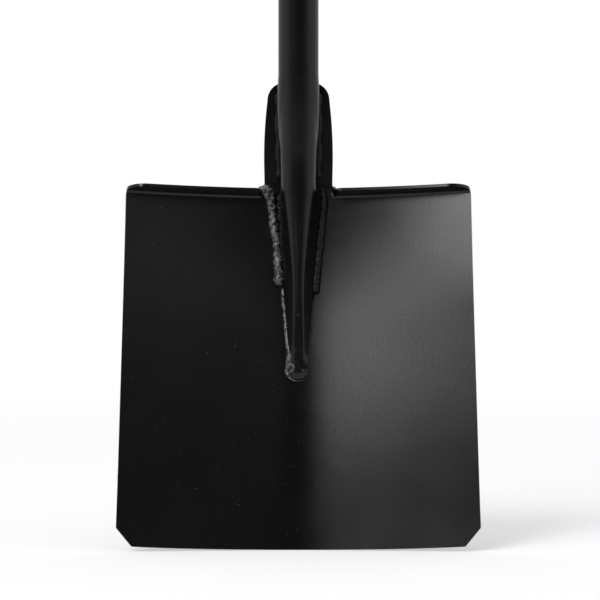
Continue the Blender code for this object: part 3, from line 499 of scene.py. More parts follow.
def rounded(corner, before, after, radius, steps):
    """Points of an arc that rounds a corner between two neighbouring points."""
    a = (Vector(before) - Vector(corner)).normalized()
    b = (Vector(after) - Vector(corner)).normalized()
    half_angle = a.angle(b) / 2
    centre = Vector(corner) + (a + b).normalized() * (radius / math.sin(half_angle))
    start = Vector(corner) + a * (radius / math.tan(half_angle)) - centre
    end = Vector(corner) + b * (radius / math.tan(half_angle)) - centre
    turn = start.angle_signed(end)
    arc = [Matrix.Rotation(-turn * i / steps, 2) @ start + centre for i in range(steps + 1)]
    return [tuple(p) for p in arc]


def blank_outline():
    """The outline as (x, along) points, one half and then its mirror image."""
    foot_x = side_at(0) - CORNER_CUT_WIDTH
    foot = (foot_x, edge_at(foot_x))
    heel = (side_at(CORNER_CUT_HEIGHT), CORNER_CUT_HEIGHT)
    shoulder = (side_at(FREE_EDGE), FREE_EDGE)
    neck_side = tongue_half(FREE_EDGE)
    mouth = (neck_side + NOTCH_MOUTH, FREE_EDGE)
    floor = FREE_EDGE - NOTCH_DEPTH
    notch = [(neck_side + NOTCH_FLOOR, floor), (neck_side, floor)]
    low, high = FREE_EDGE, TONGUE_TOP - TONGUE_CORNER
    top = (tongue_half(high), TONGUE_TOP)
    half = [(x, edge_at(x)) for x in between(0.0, foot_x, 40)[:-1]]
    half += rounded(foot, half[-1], heel, CORNER_CUT_ROUND, 5)
    half += rounded(heel, foot, shoulder, CORNER_CUT_ROUND, 5)
    rise = FREE_EDGE - TREAD_CORNER
    for i in range(1, 30):
        along = mix(CORNER_CUT_HEIGHT, rise, i / 30)
        half.append((side_at(along), along))
    half += rounded(shoulder, (side_at(rise), rise), mouth, TREAD_CORNER, 20)
    half += rounded(mouth, shoulder, notch[0], NOTCH_LIP, 5)
    half += rounded(notch[0], mouth, notch[1], NOTCH_ROUND, 6)
    half += rounded(notch[1], notch[0], (neck_side, FREE_EDGE), NOTCH_ROUND, 6)
    for i in range(1, 18):
        along = mix(low, high, i / 18)
        half.append((tongue_half(along), along))
    half += rounded(top, (top[0], high), (0, TONGUE_TOP), TONGUE_CORNER, 16)
    half.append((0.0, TONGUE_TOP))
    return half + [(-x, along) for x, along in reversed(half[1:-1])]


outline = blank_outline()
print("outline points:", len(outline))


# %% Where the blank is divided
FIRST_COLUMN = 0.002
OFF_OUTLINE = 0.0002  # how far a column keeps from the tongue's widest place


def grid_lines():
    """Lists of x and of along: close together in the folds, wide apart on the plain blade.

    None runs along the outline, where it would cut slivers off.
    """
    right = between(FIRST_COLUMN, NECK_INNER, 9)[:-1]
    right += between(NECK_INNER + OFF_OUTLINE, NECK_OUTER, 12)
    right += between(NECK_OUTER, side_at(0), 32)[1:-2]
    columns = [0.0]
    for x in right:
        columns += [x, -x]
    rows = between(0.0, FOLD_START, 44)[1:]
    rows += between(FOLD_START, FOLD_START + TREAD_ARC, 10)[1:]
    rows += between(FOLD_START + TREAD_ARC, FREE_EDGE, 4)[1:]
    rows += between(FREE_EDGE, TONGUE_TOP, 18)[1:-1]
    return columns, rows


def mesh_of(bm, name):
    """Closes a bmesh and hands it over as a plain mesh."""
    mesh = bpy.data.meshes.new(name)
    bm.to_mesh(mesh)
    bm.free()
    return mesh


def cut_blank():
    bm = bmesh.new()
    bm.faces.new([bm.verts.new((x, along, 0)) for x, along in outline])
    columns, rows = grid_lines()
    for normal, cuts in (((1, 0, 0), columns), ((0, 1, 0), rows)):
        for place in cuts:
            everything = bm.verts[:] + bm.edges[:] + bm.faces[:]
            point = Vector(normal) * place
            bmesh.ops.bisect_plane(
                bm, geom=everything, dist=1e-6, plane_co=point, plane_no=normal
            )
    bmesh.ops.remove_doubles(bm, verts=bm.verts, dist=4e-5)
    return mesh_of(bm, "blade_finished")


blank = cut_blank()
print("blank faces:", len(blank.polygons))

# %% [markdown]
# ## The press
# The press is one rule for the whole sheet. It rolls a trough down the middle, folds the treads
# forward round a small radius, and bends the tongue round a large one until it is upright. Between
# tread and tongue the two bends blend over a few millimetres, as the steel does where it is drawn.
# A rule like this suits Geometry Nodes: the tree takes every flat point to its pressed place, and
# its sizes stay open as inputs of the modifier.


# %% Start and end a geometry tree
def start_tree(name, sizes):
    """A geometry tree with an input for each size: (board, geometry, inputs by name)."""
    tree = bpy.data.node_groups.new(name, "GeometryNodeTree")
    tree.interface.new_socket("Geometry", in_out="INPUT", socket_type="NodeSocketGeometry")
    for label, value in sizes.items():
        kind = "NodeSocketInt" if isinstance(value, int) else "NodeSocketFloat"
        socket = tree.interface.new_socket(label, in_out="INPUT", socket_type=kind)
        socket.default_value = value
    tree.interface.new_socket("Finish", in_out="INPUT", socket_type="NodeSocketMaterial")
    tree.interface.new_socket("Geometry", in_out="OUTPUT", socket_type="NodeSocketGeometry")
    board = Board(tree)
    entry = board.add("NodeGroupInput")
    return board, entry, {label: entry.also(label) for label in (*sizes, "Finish")}


def end_tree(board, geometry, finish):
    """Shades smooth, makes instances real, gives the finish and hands the geometry over."""
    shaded = board.add("GeometryNodeSetShadeSmooth", None, {"Geometry": geometry})
    real = board.add("GeometryNodeRealizeInstances", None, {"Geometry": shaded})
    painted = board.add("GeometryNodeSetMaterial", None, {"Geometry": real, "Material": finish})
    board.add("NodeGroupOutput", None, {"Geometry": painted})
    return board.tree


def use_tree(item, tree, values):
    """Adds the tree as a modifier and sets its inputs by their identifiers."""
    modifier = item.modifiers.new(tree.name, "NODES")
    modifier.node_group = tree
    for socket in tree.interface.items_tree:
        if socket.in_out == "INPUT" and socket.name in values:
            modifier[socket.identifier] = values[socket.name]


def bake(item):
    """Turns what the modifiers make into the object's plain mesh."""
    depsgraph = bpy.context.evaluated_depsgraph_get()
    mesh = bpy.data.meshes.new_from_object(item.evaluated_get(depsgraph))
    item.modifiers.clear()
    item.data = mesh
    mesh.name = item.name


# %% The press as a tree
PRESS_SIZES = {
    "Dish depth": DISH_DEPTH,
    "Dish swell": DISH_SWELL,
    "Crease round": CREASE_ROUND,
    "Edge roll": EDGE_ROLL,
    "Tread roll": TREAD_ROLL,
    "Tread bend": TREAD_BEND,
    "Tread angle": TREAD_ANGLE,
    "Tongue bend": TONGUE_BEND,
    "Lean": BLADE_LEAN,
}


def bent_strip(board, along, radius, angle):
    """(up, out) of a strip that bends forward round a radius above the fold's start."""
    above = board.math("MAXIMUM", along - FOLD_START, 0.0)
    turned = board.math("MINIMUM", above / radius, angle)
    straight = above - turned * radius
    sine, cosine = board.math("SINE", turned), board.math("COSINE", turned)
    return radius * sine + straight * cosine, radius * (1 - cosine) + straight * sine


def trough_height(board, x, share, size):
    """How far the sheet stands forward: creased in the middle, rolled round under the treads."""
    half = EDGE_WIDTH / 2
    soft = size["Crease round"]
    reach = board.math("SQRT", soft * soft + half * half) - soft
    creased = (board.math("SQRT", x * x + soft * soft) - soft) / reach
    rolled = (x / half) * (x / half)
    upper = size["Tread roll"] * board.smooth(share, TREAD_ROLL_START, 1.0)
    roll = size["Edge roll"] * (1 - share) * (1 - share) + upper
    wave = board.math("SINE", share * math.pi)
    deep = size["Dish depth"] * (1 + size["Dish swell"] * wave * wave)
    return deep * board.blend(creased, rolled, roll)


def press_tree():
    board, geometry, size = start_tree("press", PRESS_SIZES)
    x, along, _ = board.apart(board.add("GeometryNodeInputPosition"))
    tread = board.smooth(board.math("ABSOLUTE", x), NECK_INNER, NECK_OUTER)
    tongue_up, tongue_out = bent_strip(board, along, size["Tongue bend"], size["Lean"])
    tread_up, tread_out = bent_strip(board, along, size["Tread bend"], size["Tread angle"])
    up = board.math("MINIMUM", along, FOLD_START) + board.blend(tongue_up, tread_up, tread)
    share = board.math("MINIMUM", along / BLADE_LENGTH, 1.0)
    out = trough_height(board, x, share, size) + board.blend(tongue_out, tread_out, tread)
    sine, cosine = board.math("SINE", size["Lean"]), board.math("COSINE", size["Lean"])
    place = board.together(x, up * sine - out * cosine, up * cosine + out * sine)
    pressed_sheet = board.add(
        "GeometryNodeSetPosition", None, {"Geometry": geometry, "Position": place}
    )
    return end_tree(board, pressed_sheet, size["Finish"])


press = press_tree()
print("press tree:", len(press.nodes), "nodes")

# %% Press the blank and give it its thickness
EDGE_ROUND = 0.0008


def stand_for(piece, slot, *nodes):
    """Puts a finished piece in the place of its solids."""
    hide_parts(*nodes)
    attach(piece, "root")
    print(piece.name, "stands for", ", ".join(nodes), "with", len(piece.data.polygons), "faces")


def add_piece(name, mesh):
    item = bpy.data.objects.new(name, mesh)
    bpy.context.scene.collection.objects.link(item)
    return item


def soften(item, width, segments=2, angle=40):
    """Rounds the sharp edges, and keeps the flat faces beside them flat."""
    bevel = item.modifiers.new("soft_edges", "BEVEL")
    bevel.width = width
    bevel.segments = segments
    bevel.limit_method = "ANGLE"
    bevel.angle_limit = math.radians(angle)
    bevel.harden_normals = True


blade = add_piece("blade_finished", blank)
use_tree(blade, press, {**PRESS_SIZES, "Finish": coat})
wall = blade.modifiers.new("sheet", "SOLIDIFY")
wall.thickness = SHEET
wall.offset = 0
wall.use_even_offset = True
soften(blade, EDGE_ROUND, segments=3, angle=50)
bake(blade)
stand_for(blade, "coated_steel", "blade")

# %% [markdown]
# ## The shaft's lower end
# The shaft is one round tube. Its lower end was squeezed in a die: flat at the back, so that it
# lies on the blade, narrow at the front, and pressed shut into a rounded tip. Seen from the front
# it narrows like a nose. Each cross-section is the outline round four circles, two at the back
# corners and two at the crown, so a few numbers per station describe all of it. The stations are
# joined into a skin, ring by ring.

# %% Measures of the shaft
TUBE_RADIUS = 0.014
TUBE_WALL = 0.0015
OVERALL_LENGTH = 1.100
TIP_REACH = 0.1172
TIP_WIDTH = 0.0150
TIP_THICKNESS = 0.0046
TIP_FLAT = 0.0026
TIP_ROUND = 0.0016
WAIST_REACH = 0.138
WAIST_WIDTH = 0.0132
WAIST_DEPTH = 0.0066
FOOT_WIDTH = 0.0330
NOSE_DEPTH = 0.0250
NOSE_CROWN = 0.0126
WAIST_CROWN = 0.0031
WAIST_FLAT = 0.0018
FLAT_RUN = 0.055
FOOT_ROUND = 0.0020
NOSE_CROWNING = 1.8
SOFT_BEND = 0.030
PINCH_WIDTH = 0.0249
PINCH_CROWN = 0.0121
PINCH_FOOT_ROUND = 0.0090
PINCH_RISE = 0.0125
TURN_RUN = 0.040
DEPTH_STEPS = 5
SQUASH = 0.0011
TIP_FALL = 0.5
SWAGE_TOP = TONGUE_TOP + 0.004
GRIP_HEIGHT = 0.192
COLLAR_DEPTH = 0.076
TUBE_SIDES = 96


# %% The pressed surface as a plain function
def trough(x, share):
    half = EDGE_WIDTH / 2
    share = min(max(share, 0.0), 1.0)
    reach = math.hypot(half, CREASE_ROUND) - CREASE_ROUND
    creased = (math.hypot(x, CREASE_ROUND) - CREASE_ROUND) / reach
    upper = TREAD_ROLL * smooth_step((share - TREAD_ROLL_START) / (1 - TREAD_ROLL_START))
    roll = EDGE_ROLL * (1 - share) ** 2 + upper
    deep = DISH_DEPTH * (1 + DISH_SWELL * math.sin(math.pi * share) ** 2)
    return deep * mix(creased, (x / half) ** 2, roll)


def spine_frame(along):
    """(point, outward direction) on the middle line of the sheet, from blade to tongue."""
    above = max(along - FOLD_START, 0.0)
    turned = min(above / TONGUE_BEND, BLADE_LEAN)
    straight = above - turned * TONGUE_BEND
    up = min(along, FOLD_START) + TONGUE_BEND * math.sin(turned) + straight * math.cos(turned)
    out = TONGUE_BEND * (1 - math.cos(turned)) + straight * math.sin(turned)
    normal = math.cos(turned) * OUT_OF_BLADE - math.sin(turned) * UP_BLADE
    return up * UP_BLADE + out * OUT_OF_BLADE, normal


def on_sheet(x, along, height):
    """A point above the sheet's front face."""
    base, out = spine_frame(along)
    swell = trough(x, along / BLADE_LENGTH)
    return base + Vector((x, 0, 0)) + (HALF_SHEET + GAP + swell + height) * out


SHAFT_Y = spine_frame(TONGUE_TOP)[0].y - HALF_SHEET - GAP - TUBE_RADIUS
COLLAR_MOUTH = OVERALL_LENGTH - GRIP_HEIGHT
SHAFT_TOP = COLLAR_MOUTH + COLLAR_DEPTH
print("shaft axis at y", round(SHAFT_Y, 5), "top at", round(SHAFT_TOP, 4))


# %% Cross-sections of the nose
def section_direction(along):
    """The way a cross-section stands out: it turns upright more slowly than the sheet does."""
    turned = BLADE_LEAN * smooth_step((along - FOLD_START) / (2 * TURN_RUN) + 0.5)
    return math.cos(turned) * OUT_OF_BLADE - math.sin(turned) * UP_BLADE


def front_point(along, depth):
    """Where the middle of the tube's front lies for a depth at a place on the blade."""
    return spine_frame(along)[0] + (HALF_SHEET + GAP + depth) * section_direction(along)


FRONT_ENDS = (
    front_point(WAIST_REACH, WAIST_DEPTH),
    front_point(FOLD_START, NOSE_DEPTH),
    front_point(SWAGE_TOP, 2 * TUBE_RADIUS),
)


def front_line(height):
    """How far forward the front lies at a height: two slopes and a soft bend between them."""
    foot, fold, top = FRONT_ENDS
    low = (fold.y - foot.y) / (fold.z - foot.z)
    high = (top.y - fold.y) / (top.z - fold.z)
    above = height - fold.z
    straight = fold.y + above * (low if above < 0 else high)
    within = max(SOFT_BEND - abs(above), 0.0)
    return straight - (low - high) * within**2 / (4 * SOFT_BEND)


def nose_depth(along):
    """Depth above the flattened tip, which brings the front to the front line."""
    depth = NOSE_DEPTH
    for _ in range(DEPTH_STEPS):
        point = front_point(along, depth)
        depth += (point.y - front_line(point.z)) / -section_direction(along).y
    return depth


def nose_section(along):
    """(half width, depth, crown radius, foot radius, half flat) at a place on the blade."""
    if along <= WAIST_REACH:
        t = smooth_step((WAIST_REACH - along) / (WAIST_REACH - TIP_REACH - TIP_WIDTH / 2))
        half = mix(WAIST_WIDTH, TIP_WIDTH, t) / 2
        depth = mix(WAIST_DEPTH, TIP_THICKNESS, t)
        crown = mix(WAIST_CROWN, TIP_THICKNESS / 2, t)
        foot = mix(FOOT_ROUND, TIP_ROUND, t)
        return half, depth, crown, foot, mix(WAIST_FLAT, TIP_FLAT, t)
    depth = nose_depth(along)
    if along <= FOLD_START:
        t = (along - WAIST_REACH) / (FOLD_START - WAIST_REACH)
        crown = mix(WAIST_CROWN, NOSE_CROWN, t**NOSE_CROWNING)
        flat = WAIST_FLAT * (1 - smooth_step((along - WAIST_REACH) / FLAT_RUN))
        return mix(WAIST_WIDTH, FOOT_WIDTH, t) / 2, depth, crown, FOOT_ROUND, flat
    t = (along - FOLD_START) / (SWAGE_TOP - FOLD_START)
    pinch = smooth_step((along - FOLD_START) / PINCH_RISE)
    half = mix(mix(FOOT_WIDTH, PINCH_WIDTH, pinch) / 2, TUBE_RADIUS, t)
    half += SQUASH * math.sin(math.pi * t * t)
    crown = mix(mix(NOSE_CROWN, PINCH_CROWN, pinch), TUBE_RADIUS, t)
    foot = mix(mix(FOOT_ROUND, PINCH_FOOT_ROUND, pinch), TUBE_RADIUS, t)
    most = min(depth / 2, half)
    return half, depth, min(crown, most), min(foot, most), 0


def hull_section(half, depth, crown, foot, flat, thinner=0.0):
    """(x, height) points round two foot circles and two crown circles."""
    circles = [(half - foot, foot, foot), (foot - half, foot, foot)]
    circles += [(flat, depth - crown, crown), (-flat, depth - crown, crown)]
    points = []
    for i in range(TUBE_SIDES):
        angle = 2 * math.pi * (i + 0.5) / TUBE_SIDES
        x, y = math.sin(angle), math.cos(angle)
        _, cx, cy, r = max((c[0] * x + c[1] * y + c[2], *c) for c in circles)
        points.append((cx + (r - thinner) * x, cy + (r - thinner) * y))
    return points


def tube_ring(along, section, thinner=0.0):
    base, out = spine_frame(along)[0], section_direction(along)
    ring = []
    for x, height in hull_section(*section, thinner):
        lift = HALF_SHEET + GAP + trough(x, along / BLADE_LENGTH) + height
        ring.append(base + Vector((x, 0, 0)) + lift * out)
    return ring


# %% The skin of the tube
def tip_rings():
    """Rings round the tip's end, which is a half circle seen from the front."""
    radius = TIP_WIDTH / 2
    rings = []
    for i in range(14):
        angle = math.pi / 2 * (i + 0.5) / 14
        half = radius * math.sin(angle)
        depth = TIP_THICKNESS * math.sin(angle) ** TIP_FALL
        crown = min(depth / 2, half)
        foot, flat = min(TIP_ROUND, crown), min(TIP_FLAT, half - crown)
        along = TIP_REACH + radius * (1 - math.cos(angle))
        ring = tube_ring(along, (half, depth, crown, foot, flat))
        rings.append([melted(p, along) for p in ring])
    return rings


def straight_rings(thinner=0.0):
    low = spine_frame(SWAGE_TOP)[0].z
    section = (TUBE_RADIUS, 2 * TUBE_RADIUS, TUBE_RADIUS, TUBE_RADIUS, 0)
    rings = []
    for height in between(low, SHAFT_TOP, 14)[1:]:
        points = hull_section(*section, thinner)
        rings.append([Vector((x, SHAFT_Y + TUBE_RADIUS - d, height)) for x, d in points])
    return rings


def skin(bm, rings):
    rows = [[bm.verts.new(p) for p in ring] for ring in rings]
    for a, b in zip(rows, rows[1:]):
        for i in range(len(a)):
            j = (i + 1) % len(a)
            bm.faces.new((a[i], a[j], b[j], b[i]))
    bm.faces.new(rows[0])
    return rows[-1]


TIP_LUMP = 0.0030
TIP_LUMP_HEIGHT = 0.0008
MELT_REACH = 0.008  # how far above the tip the lumps are full, and over which run they fade
MELT_FADE = 0.014


def melted(point, along):
    """The weld round the tip has melted it a little: low lumps that fade out upwards."""
    share = 1 - smooth_step((along - TIP_REACH - MELT_REACH) / MELT_FADE)
    if share == 0:
        return point
    lump = noise_module.noise(point / TIP_LUMP)
    lump += 0.5 * noise_module.noise(point / (0.4 * TIP_LUMP))
    return point + OUT_OF_BLADE * (lump * TIP_LUMP_HEIGHT * share)


def tube_mesh():
    stations = between(TIP_REACH + TIP_WIDTH / 2, WAIST_REACH, 8)
    stations += between(WAIST_REACH, FOLD_START, 50)[1:]
    stations += between(FOLD_START, SWAGE_TOP, 50)[1:]
    outside = tip_rings()
    for along in stations:
        outside.append([melted(p, along) for p in tube_ring(along, nose_section(along))])
    hollow = [along for along in stations if along > WAIST_REACH]
    inside = [tube_ring(along, nose_section(along), TUBE_WALL) for along in hollow]
    bm = bmesh.new()
    last = skin(bm, outside + straight_rings())
    mouth = skin(bm, inside + straight_rings(TUBE_WALL))
    for i in range(TUBE_SIDES):
        j = (i + 1) % TUBE_SIDES
        bm.faces.new((last[i], last[j], mouth[j], mouth[i]))
    bmesh.ops.remove_doubles(bm, verts=bm.verts, dist=1e-7)
    bmesh.ops.recalc_face_normals(bm, faces=bm.faces)
    mesh = mesh_of(bm, "shaft_finished")
    mesh.shade_smooth()
    mesh.set_sharp_from_angle(angle=math.radians(40))
    return mesh


# %% The shaft
shaft = add_piece("shaft_finished", tube_mesh())
shaft.data.materials.append(coat)
stand_for(shaft, "coated_steel", "shaft_tube")

# %% [markdown]
# ## Welds
# The tube is held by hand-laid welds. A bead is a rope of steel that froze in small puddles, one
# after another, so it carries crescents across its back and swells here and there. Modelling each
# puddle would be slow and look regular. A tree draws a rope along a path instead, and pushes its
# surface out by a wave that runs along the path and lags at the sides, and by noise for the lumps.
# The steel under a weld melts with it, so a rope sinks into the sheet and is flat there: nothing of
# it shows behind the blade. Two thick beads run down beside the tube, and a thin lip goes from one
# round the tip to the other. It grows fat on the left of the tip and was ended there in a curl.

# %% The weld tree
WELD_SIZES = {
    "Step": 0.0003,
    "Puddle": 0.0030,
    "Puddle depth": 0.00025,
    "Lag": 0.9,
    "Lump": 0.0045,
    "Lump height": 0.0004,
    "Fineness": 1.0,
    "Waver": 0.6,
    "Seed": 1.0,
}


def weld_tree():
    board, geometry, size = start_tree("weld_bead", WELD_SIZES)
    thick = board.add(
        "GeometryNodeInputNamedAttribute", {"data_type": "FLOAT"}, {"Name": "thick"}
    )
    path = board.add("GeometryNodeMeshToCurve", None, {"Mesh": geometry})
    fine = board.add(
        "GeometryNodeResampleCurve", {"mode": "LENGTH"}, {"Curve": path, "Length": size["Step"]}
    )
    run = board.add("GeometryNodeSplineParameter", out="Length")
    kept = board.add("GeometryNodeCaptureAttribute", None, {"Geometry": fine})
    kept.socket.node.capture_items.new("FLOAT", "run")
    board.tree.links.new(run.socket, kept.socket.node.inputs["run"])
    ring = board.add("GeometryNodeCurvePrimitiveCircle", None, {"Resolution": 28, "Radius": 1.0})
    rope = board.add(
        "GeometryNodeCurveToMesh",
        None,
        {"Curve": kept, "Profile Curve": ring, "Scale": thick, "Fill Caps": True},
    )
    normal = board.add("GeometryNodeInputNormal")
    forward = board.add(
        "ShaderNodeVectorMath",
        {"operation": "DOT_PRODUCT"},
        {0: normal, 1: tuple(OUT_OF_BLADE)},
        "Value",
    )
    lumps = board.add(
        "ShaderNodeTexNoise",
        {"noise_dimensions": "4D"},
        {"Scale": 1 / size["Lump"], "Detail": size["Fineness"], "Roughness": 0.6, "W": size["Seed"]},
    )
    phase = kept.also("run") / size["Puddle"] + size["Lag"] * (1 - forward) + size["Waver"] * lumps
    wave = board.math("ABSOLUTE", board.math("SINE", phase * math.pi))
    swell = size["Puddle depth"] * (wave - 0.6) + size["Lump height"] * (lumps - 0.5) * 2
    push = board.add("ShaderNodeVectorMath", {"operation": "SCALE"}, {0: normal, "Scale": swell})
    laid = board.add("GeometryNodeSetPosition", None, {"Geometry": rope, "Offset": push})
    return end_tree(board, laid, size["Finish"])


bead_tree = weld_tree()
print("weld tree:", len(bead_tree.nodes), "nodes")


# %% Lay a bead
END_SHARE = 0.12  # what is left of a bead's radius at its very ends
BED_DEPTH = 0.0012  # how far a weld reaches into the sheet that it was melted into
STATION_STEPS = 10


def rounded_ends(t, share):
    """1 along a bead, falling to a small share at its two ends as a round end does."""
    s = min(min(t, 1 - t) / share, 1.0)
    return max(math.sqrt(1 - (1 - s) ** 2), END_SHARE)


def bed_in(mesh):
    """Flattens the back of a rope inside the sheet, so that the blade hides it from behind."""
    for vert in mesh.vertices:
        along, out = vert.co.dot(UP_BLADE), vert.co.dot(OUT_OF_BLADE)
        back = HALF_SHEET + trough(vert.co.x, along / BLADE_LENGTH) - BED_DEPTH
        if along < FREE_EDGE and out < back:
            vert.co += (back - out) * OUT_OF_BLADE
    mesh.update()


def lay_bead(name, points, radii, sizes, finish, *nodes):
    """A weld along points, with its own radius at each of them."""
    mesh = bpy.data.meshes.new(name)
    edges = [(i, i + 1) for i in range(len(points) - 1)]
    mesh.from_pydata(points, edges, [])
    mesh.attributes.new("thick", "FLOAT", "POINT").data.foreach_set("value", radii)
    item = add_piece(name, mesh)
    use_tree(item, bead_tree, {**WELD_SIZES, **sizes, "Finish": finish})
    bake(item)
    bed_in(item.data)
    stand_for(item, "coated_steel", *nodes)


def bead_seat(along, radius):
    """(x, height) of a bead's middle where it meets both the tube's foot and the sheet."""
    half, _, _, foot, _ = nose_section(along)
    apart = foot + radius + GAP
    rise = radius - foot
    return half - foot + math.sqrt(max(apart * apart - rise * rise, 0.0)), radius


def side_bead(side, low, high, full, profile, sink):
    """Points and radii of a bead beside the tube, from high down to low."""
    points, radii = [], []
    for t in between(0.0, 1.0, 60):
        along = mix(high, low, t)
        x, height = bead_seat(along, full)
        points.append(on_sheet(side * (x - sink), along, height - sink))
        radii.append(full * profile(t))
    return points, radii


def bead_by_stations(side, stations):
    """Points and radii of a bead through (along, x, height, radius) stations."""
    points, radii = [], []
    for a, b in zip(stations, stations[1:]):
        for i in range(STATION_STEPS):
            t = smooth_step(i / STATION_STEPS)
            along, x, height, radius = (mix(p, q, t) for p, q in zip(a, b))
            points.append(on_sheet(side * x, along, height))
            radii.append(radius)
    last = len(points) - 1
    return points, [r * rounded_ends(i / last, 0.04) for i, r in enumerate(radii)]


# %% The two front beads
BEAD_TOP = FOLD_START + TREAD_BEND / 2
LEFT_LENGTH = 0.067
RIGHT_LENGTH = 0.073
LEFT_STATIONS = (
    (0.2548, 0.0276, 0.0050, 0.0016),
    (0.2546, 0.0244, 0.0040, 0.0030),
    (0.2533, 0.0213, 0.0020, 0.0044),
    (0.2469, 0.0193, 0.0008, 0.0033),
    (0.2361, 0.0182, 0.0004, 0.0027),
    (0.2267, 0.0172, 0.0006, 0.0032),
    (0.2181, 0.0157, 0.0004, 0.0026),
    (0.2066, 0.0146, 0.0006, 0.0028),
    (0.1966, 0.0138, 0.0009, 0.0034),
    (0.1885, 0.0131, 0.0010, 0.0035),
    (0.1838, 0.0127, 0.0006, 0.0031),
)
RIGHT_STATIONS = (
    (0.2560, 0.0160, 0.0012, 0.0022),
    (0.2469, 0.0174, 0.0002, 0.0030),
    (0.2390, 0.0170, 0.0000, 0.0031),
    (0.2192, 0.0151, 0.0000, 0.0031),
    (0.2001, 0.0133, 0.0000, 0.0031),
    (0.1782, 0.0111, 0.0002, 0.0032),
)

points, radii = bead_by_stations(-1, LEFT_STATIONS)
left_sizes = {"Lump": 0.0034, "Lump height": 0.0017, "Fineness": 2.0, "Puddle depth": 0.0004}
left_sizes.update({"Puddle": 0.0026, "Lag": 1.6, "Waver": 2.5, "Seed": 3.0})
lay_bead("left_bead_finished", points, radii, left_sizes, weld_coat, "weld_front_left")
points, radii = bead_by_stations(1, RIGHT_STATIONS)
right_sizes = {"Lump": 0.0030, "Lump height": 0.0011, "Fineness": 2.0, "Puddle depth": 0.0004}
right_sizes.update({"Puddle": 0.0020, "Lag": 2.2, "Waver": 1.6, "Seed": 5.0})
lay_bead("right_bead_finished", points, radii, right_sizes, dull_weld_coat, "weld_front_right")

# %% The lip round the foot
BEAD_RADIUS = 0.0028
TIP_BEAD_RADIUS = 0.0011
SHOULDER = TIP_REACH + TIP_WIDTH / 2
# (side, where the bead above it ends, how many bead radii the lip goes up under that bead)
LIP_LEGS = ((-1, LEFT_LENGTH, 0.7), (1, RIGHT_LENGTH, -0.5))
LIP_INWARD = 0.0010  # how far it has run onto the tip
LIP_THICKNESS = (0.42, 1.50)  # shares of its radius on the right and on the left of the tip
SPLASH_PLACE = 0.1320  # where the lip grows fat on the tip's left side
SPLASH_RUN = 0.010
SPLASH_THICKNESS = 0.7
SPLASH_SHIFT = 0.0014  # how far it spreads onto the tube there
SPLASH_LIFT = (0.5, 1.9)  # its height in radii, beside the splash and in it
CURL_PLACE = (-0.0055, 0.1252)  # (x, along) of the curl in which the weld was ended, on the tip
CURL_RADIUS = 0.0022
CURL_BEAD = 0.0012
CURL_HEIGHT = (0.0012, 0.0042)  # on the sheet beside the tip, and on the tip
CURL_CLIMB = (-0.0080, 0.0040)  # the x at which it starts to climb the tip, and over which run


def lip_path():
    """(x, along) down the foot's left side, round the tip and up the right side."""
    reach = bead_seat(SHOULDER, TIP_BEAD_RADIUS)[0] - LIP_INWARD
    legs = []
    for side, length, overlap in LIP_LEGS:
        start = BEAD_TOP - length + overlap * BEAD_RADIUS
        leg = []
        for along in between(start, SHOULDER, 40)[:-1]:
            leg.append((side * (bead_seat(along, TIP_BEAD_RADIUS)[0] - LIP_INWARD), along))
        legs.append(leg)
    angles = between(0.0, math.pi, 40)
    arc = [(-reach * math.cos(a), SHOULDER - reach * math.sin(a)) for a in angles]
    return legs[0] + arc + legs[1][::-1]


def curl_path():
    """Points of one turn on top of the tip; it begins and ends at the lip."""
    points = []
    for angle in between(math.pi, 3 * math.pi, 36):
        x = CURL_PLACE[0] + CURL_RADIUS * math.cos(angle)
        along = CURL_PLACE[1] + CURL_RADIUS * math.sin(angle)
        height = mix(*CURL_HEIGHT, smooth_step((x - CURL_CLIMB[0]) / CURL_CLIMB[1]))
        points.append(on_sheet(x, along, height))
    return points


points, radii = [], []
curl = curl_path()
for x, along in lip_path():
    fat = smooth_step(1 - abs(along - SPLASH_PLACE) / SPLASH_RUN) if x < 0 else 0.0
    height = TIP_BEAD_RADIUS * mix(*SPLASH_LIFT, fat)
    points.append(on_sheet(x + SPLASH_SHIFT * fat, along, height))
    leftness = smooth_step(-2 * x / TIP_WIDTH)
    radii.append(TIP_BEAD_RADIUS * (mix(*LIP_THICKNESS, leftness) + SPLASH_THICKNESS * fat))
    if curl and x < 0 and along < CURL_PLACE[1]:
        points += curl
        radii += [CURL_BEAD] * len(curl)
        curl = []
last = len(radii) - 1
radii = [radius * rounded_ends(i / last, 0.03) for i, radius in enumerate(radii)]
tip_sizes = {"Lump": 0.0030, "Lump height": 0.0005, "Seed": 7.0}
tip_sizes.update({"Puddle": 0.0020, "Puddle depth": 0.0001})
lay_bead("tip_bead_finished", points, radii, tip_sizes, weld_coat, "weld_tip")

# %% The beads between tube and tongue
TONGUE_BEAD_RADIUS = 0.0028
TOP_BEAD_RADIUS = 0.0017
TOP_BEAD_ANGLE = math.radians(38)
TONGUE_BEAD_TOP = TONGUE_TOP - 0.0075
TONGUE_BEAD_SINK = 0.0003
TOP_BEAD_STEPS = 40


def spotty(t):
    """A bead that was laid in three short runs."""
    runs = 0.5 + 0.5 * math.cos(2 * math.pi * (3 * t - 0.1))
    return rounded_ends(t, 0.05) * mix(0.62, 1.0, smooth_step(runs * 1.4))


for name, side, seed in (("weld_tongue_left", -1, 11.0), ("weld_tongue_right", 1, 13.0)):
    points, radii = side_bead(
        side, FREE_EDGE, TONGUE_BEAD_TOP, TONGUE_BEAD_RADIUS, spotty, TONGUE_BEAD_SINK
    )
    sizes = {"Lump height": 0.0003, "Puddle depth": 0.0002, "Seed": seed}
    piece = name.replace("weld_", "") + "_bead_finished"
    lay_bead(piece, points, radii, sizes, dull_weld_coat, name)

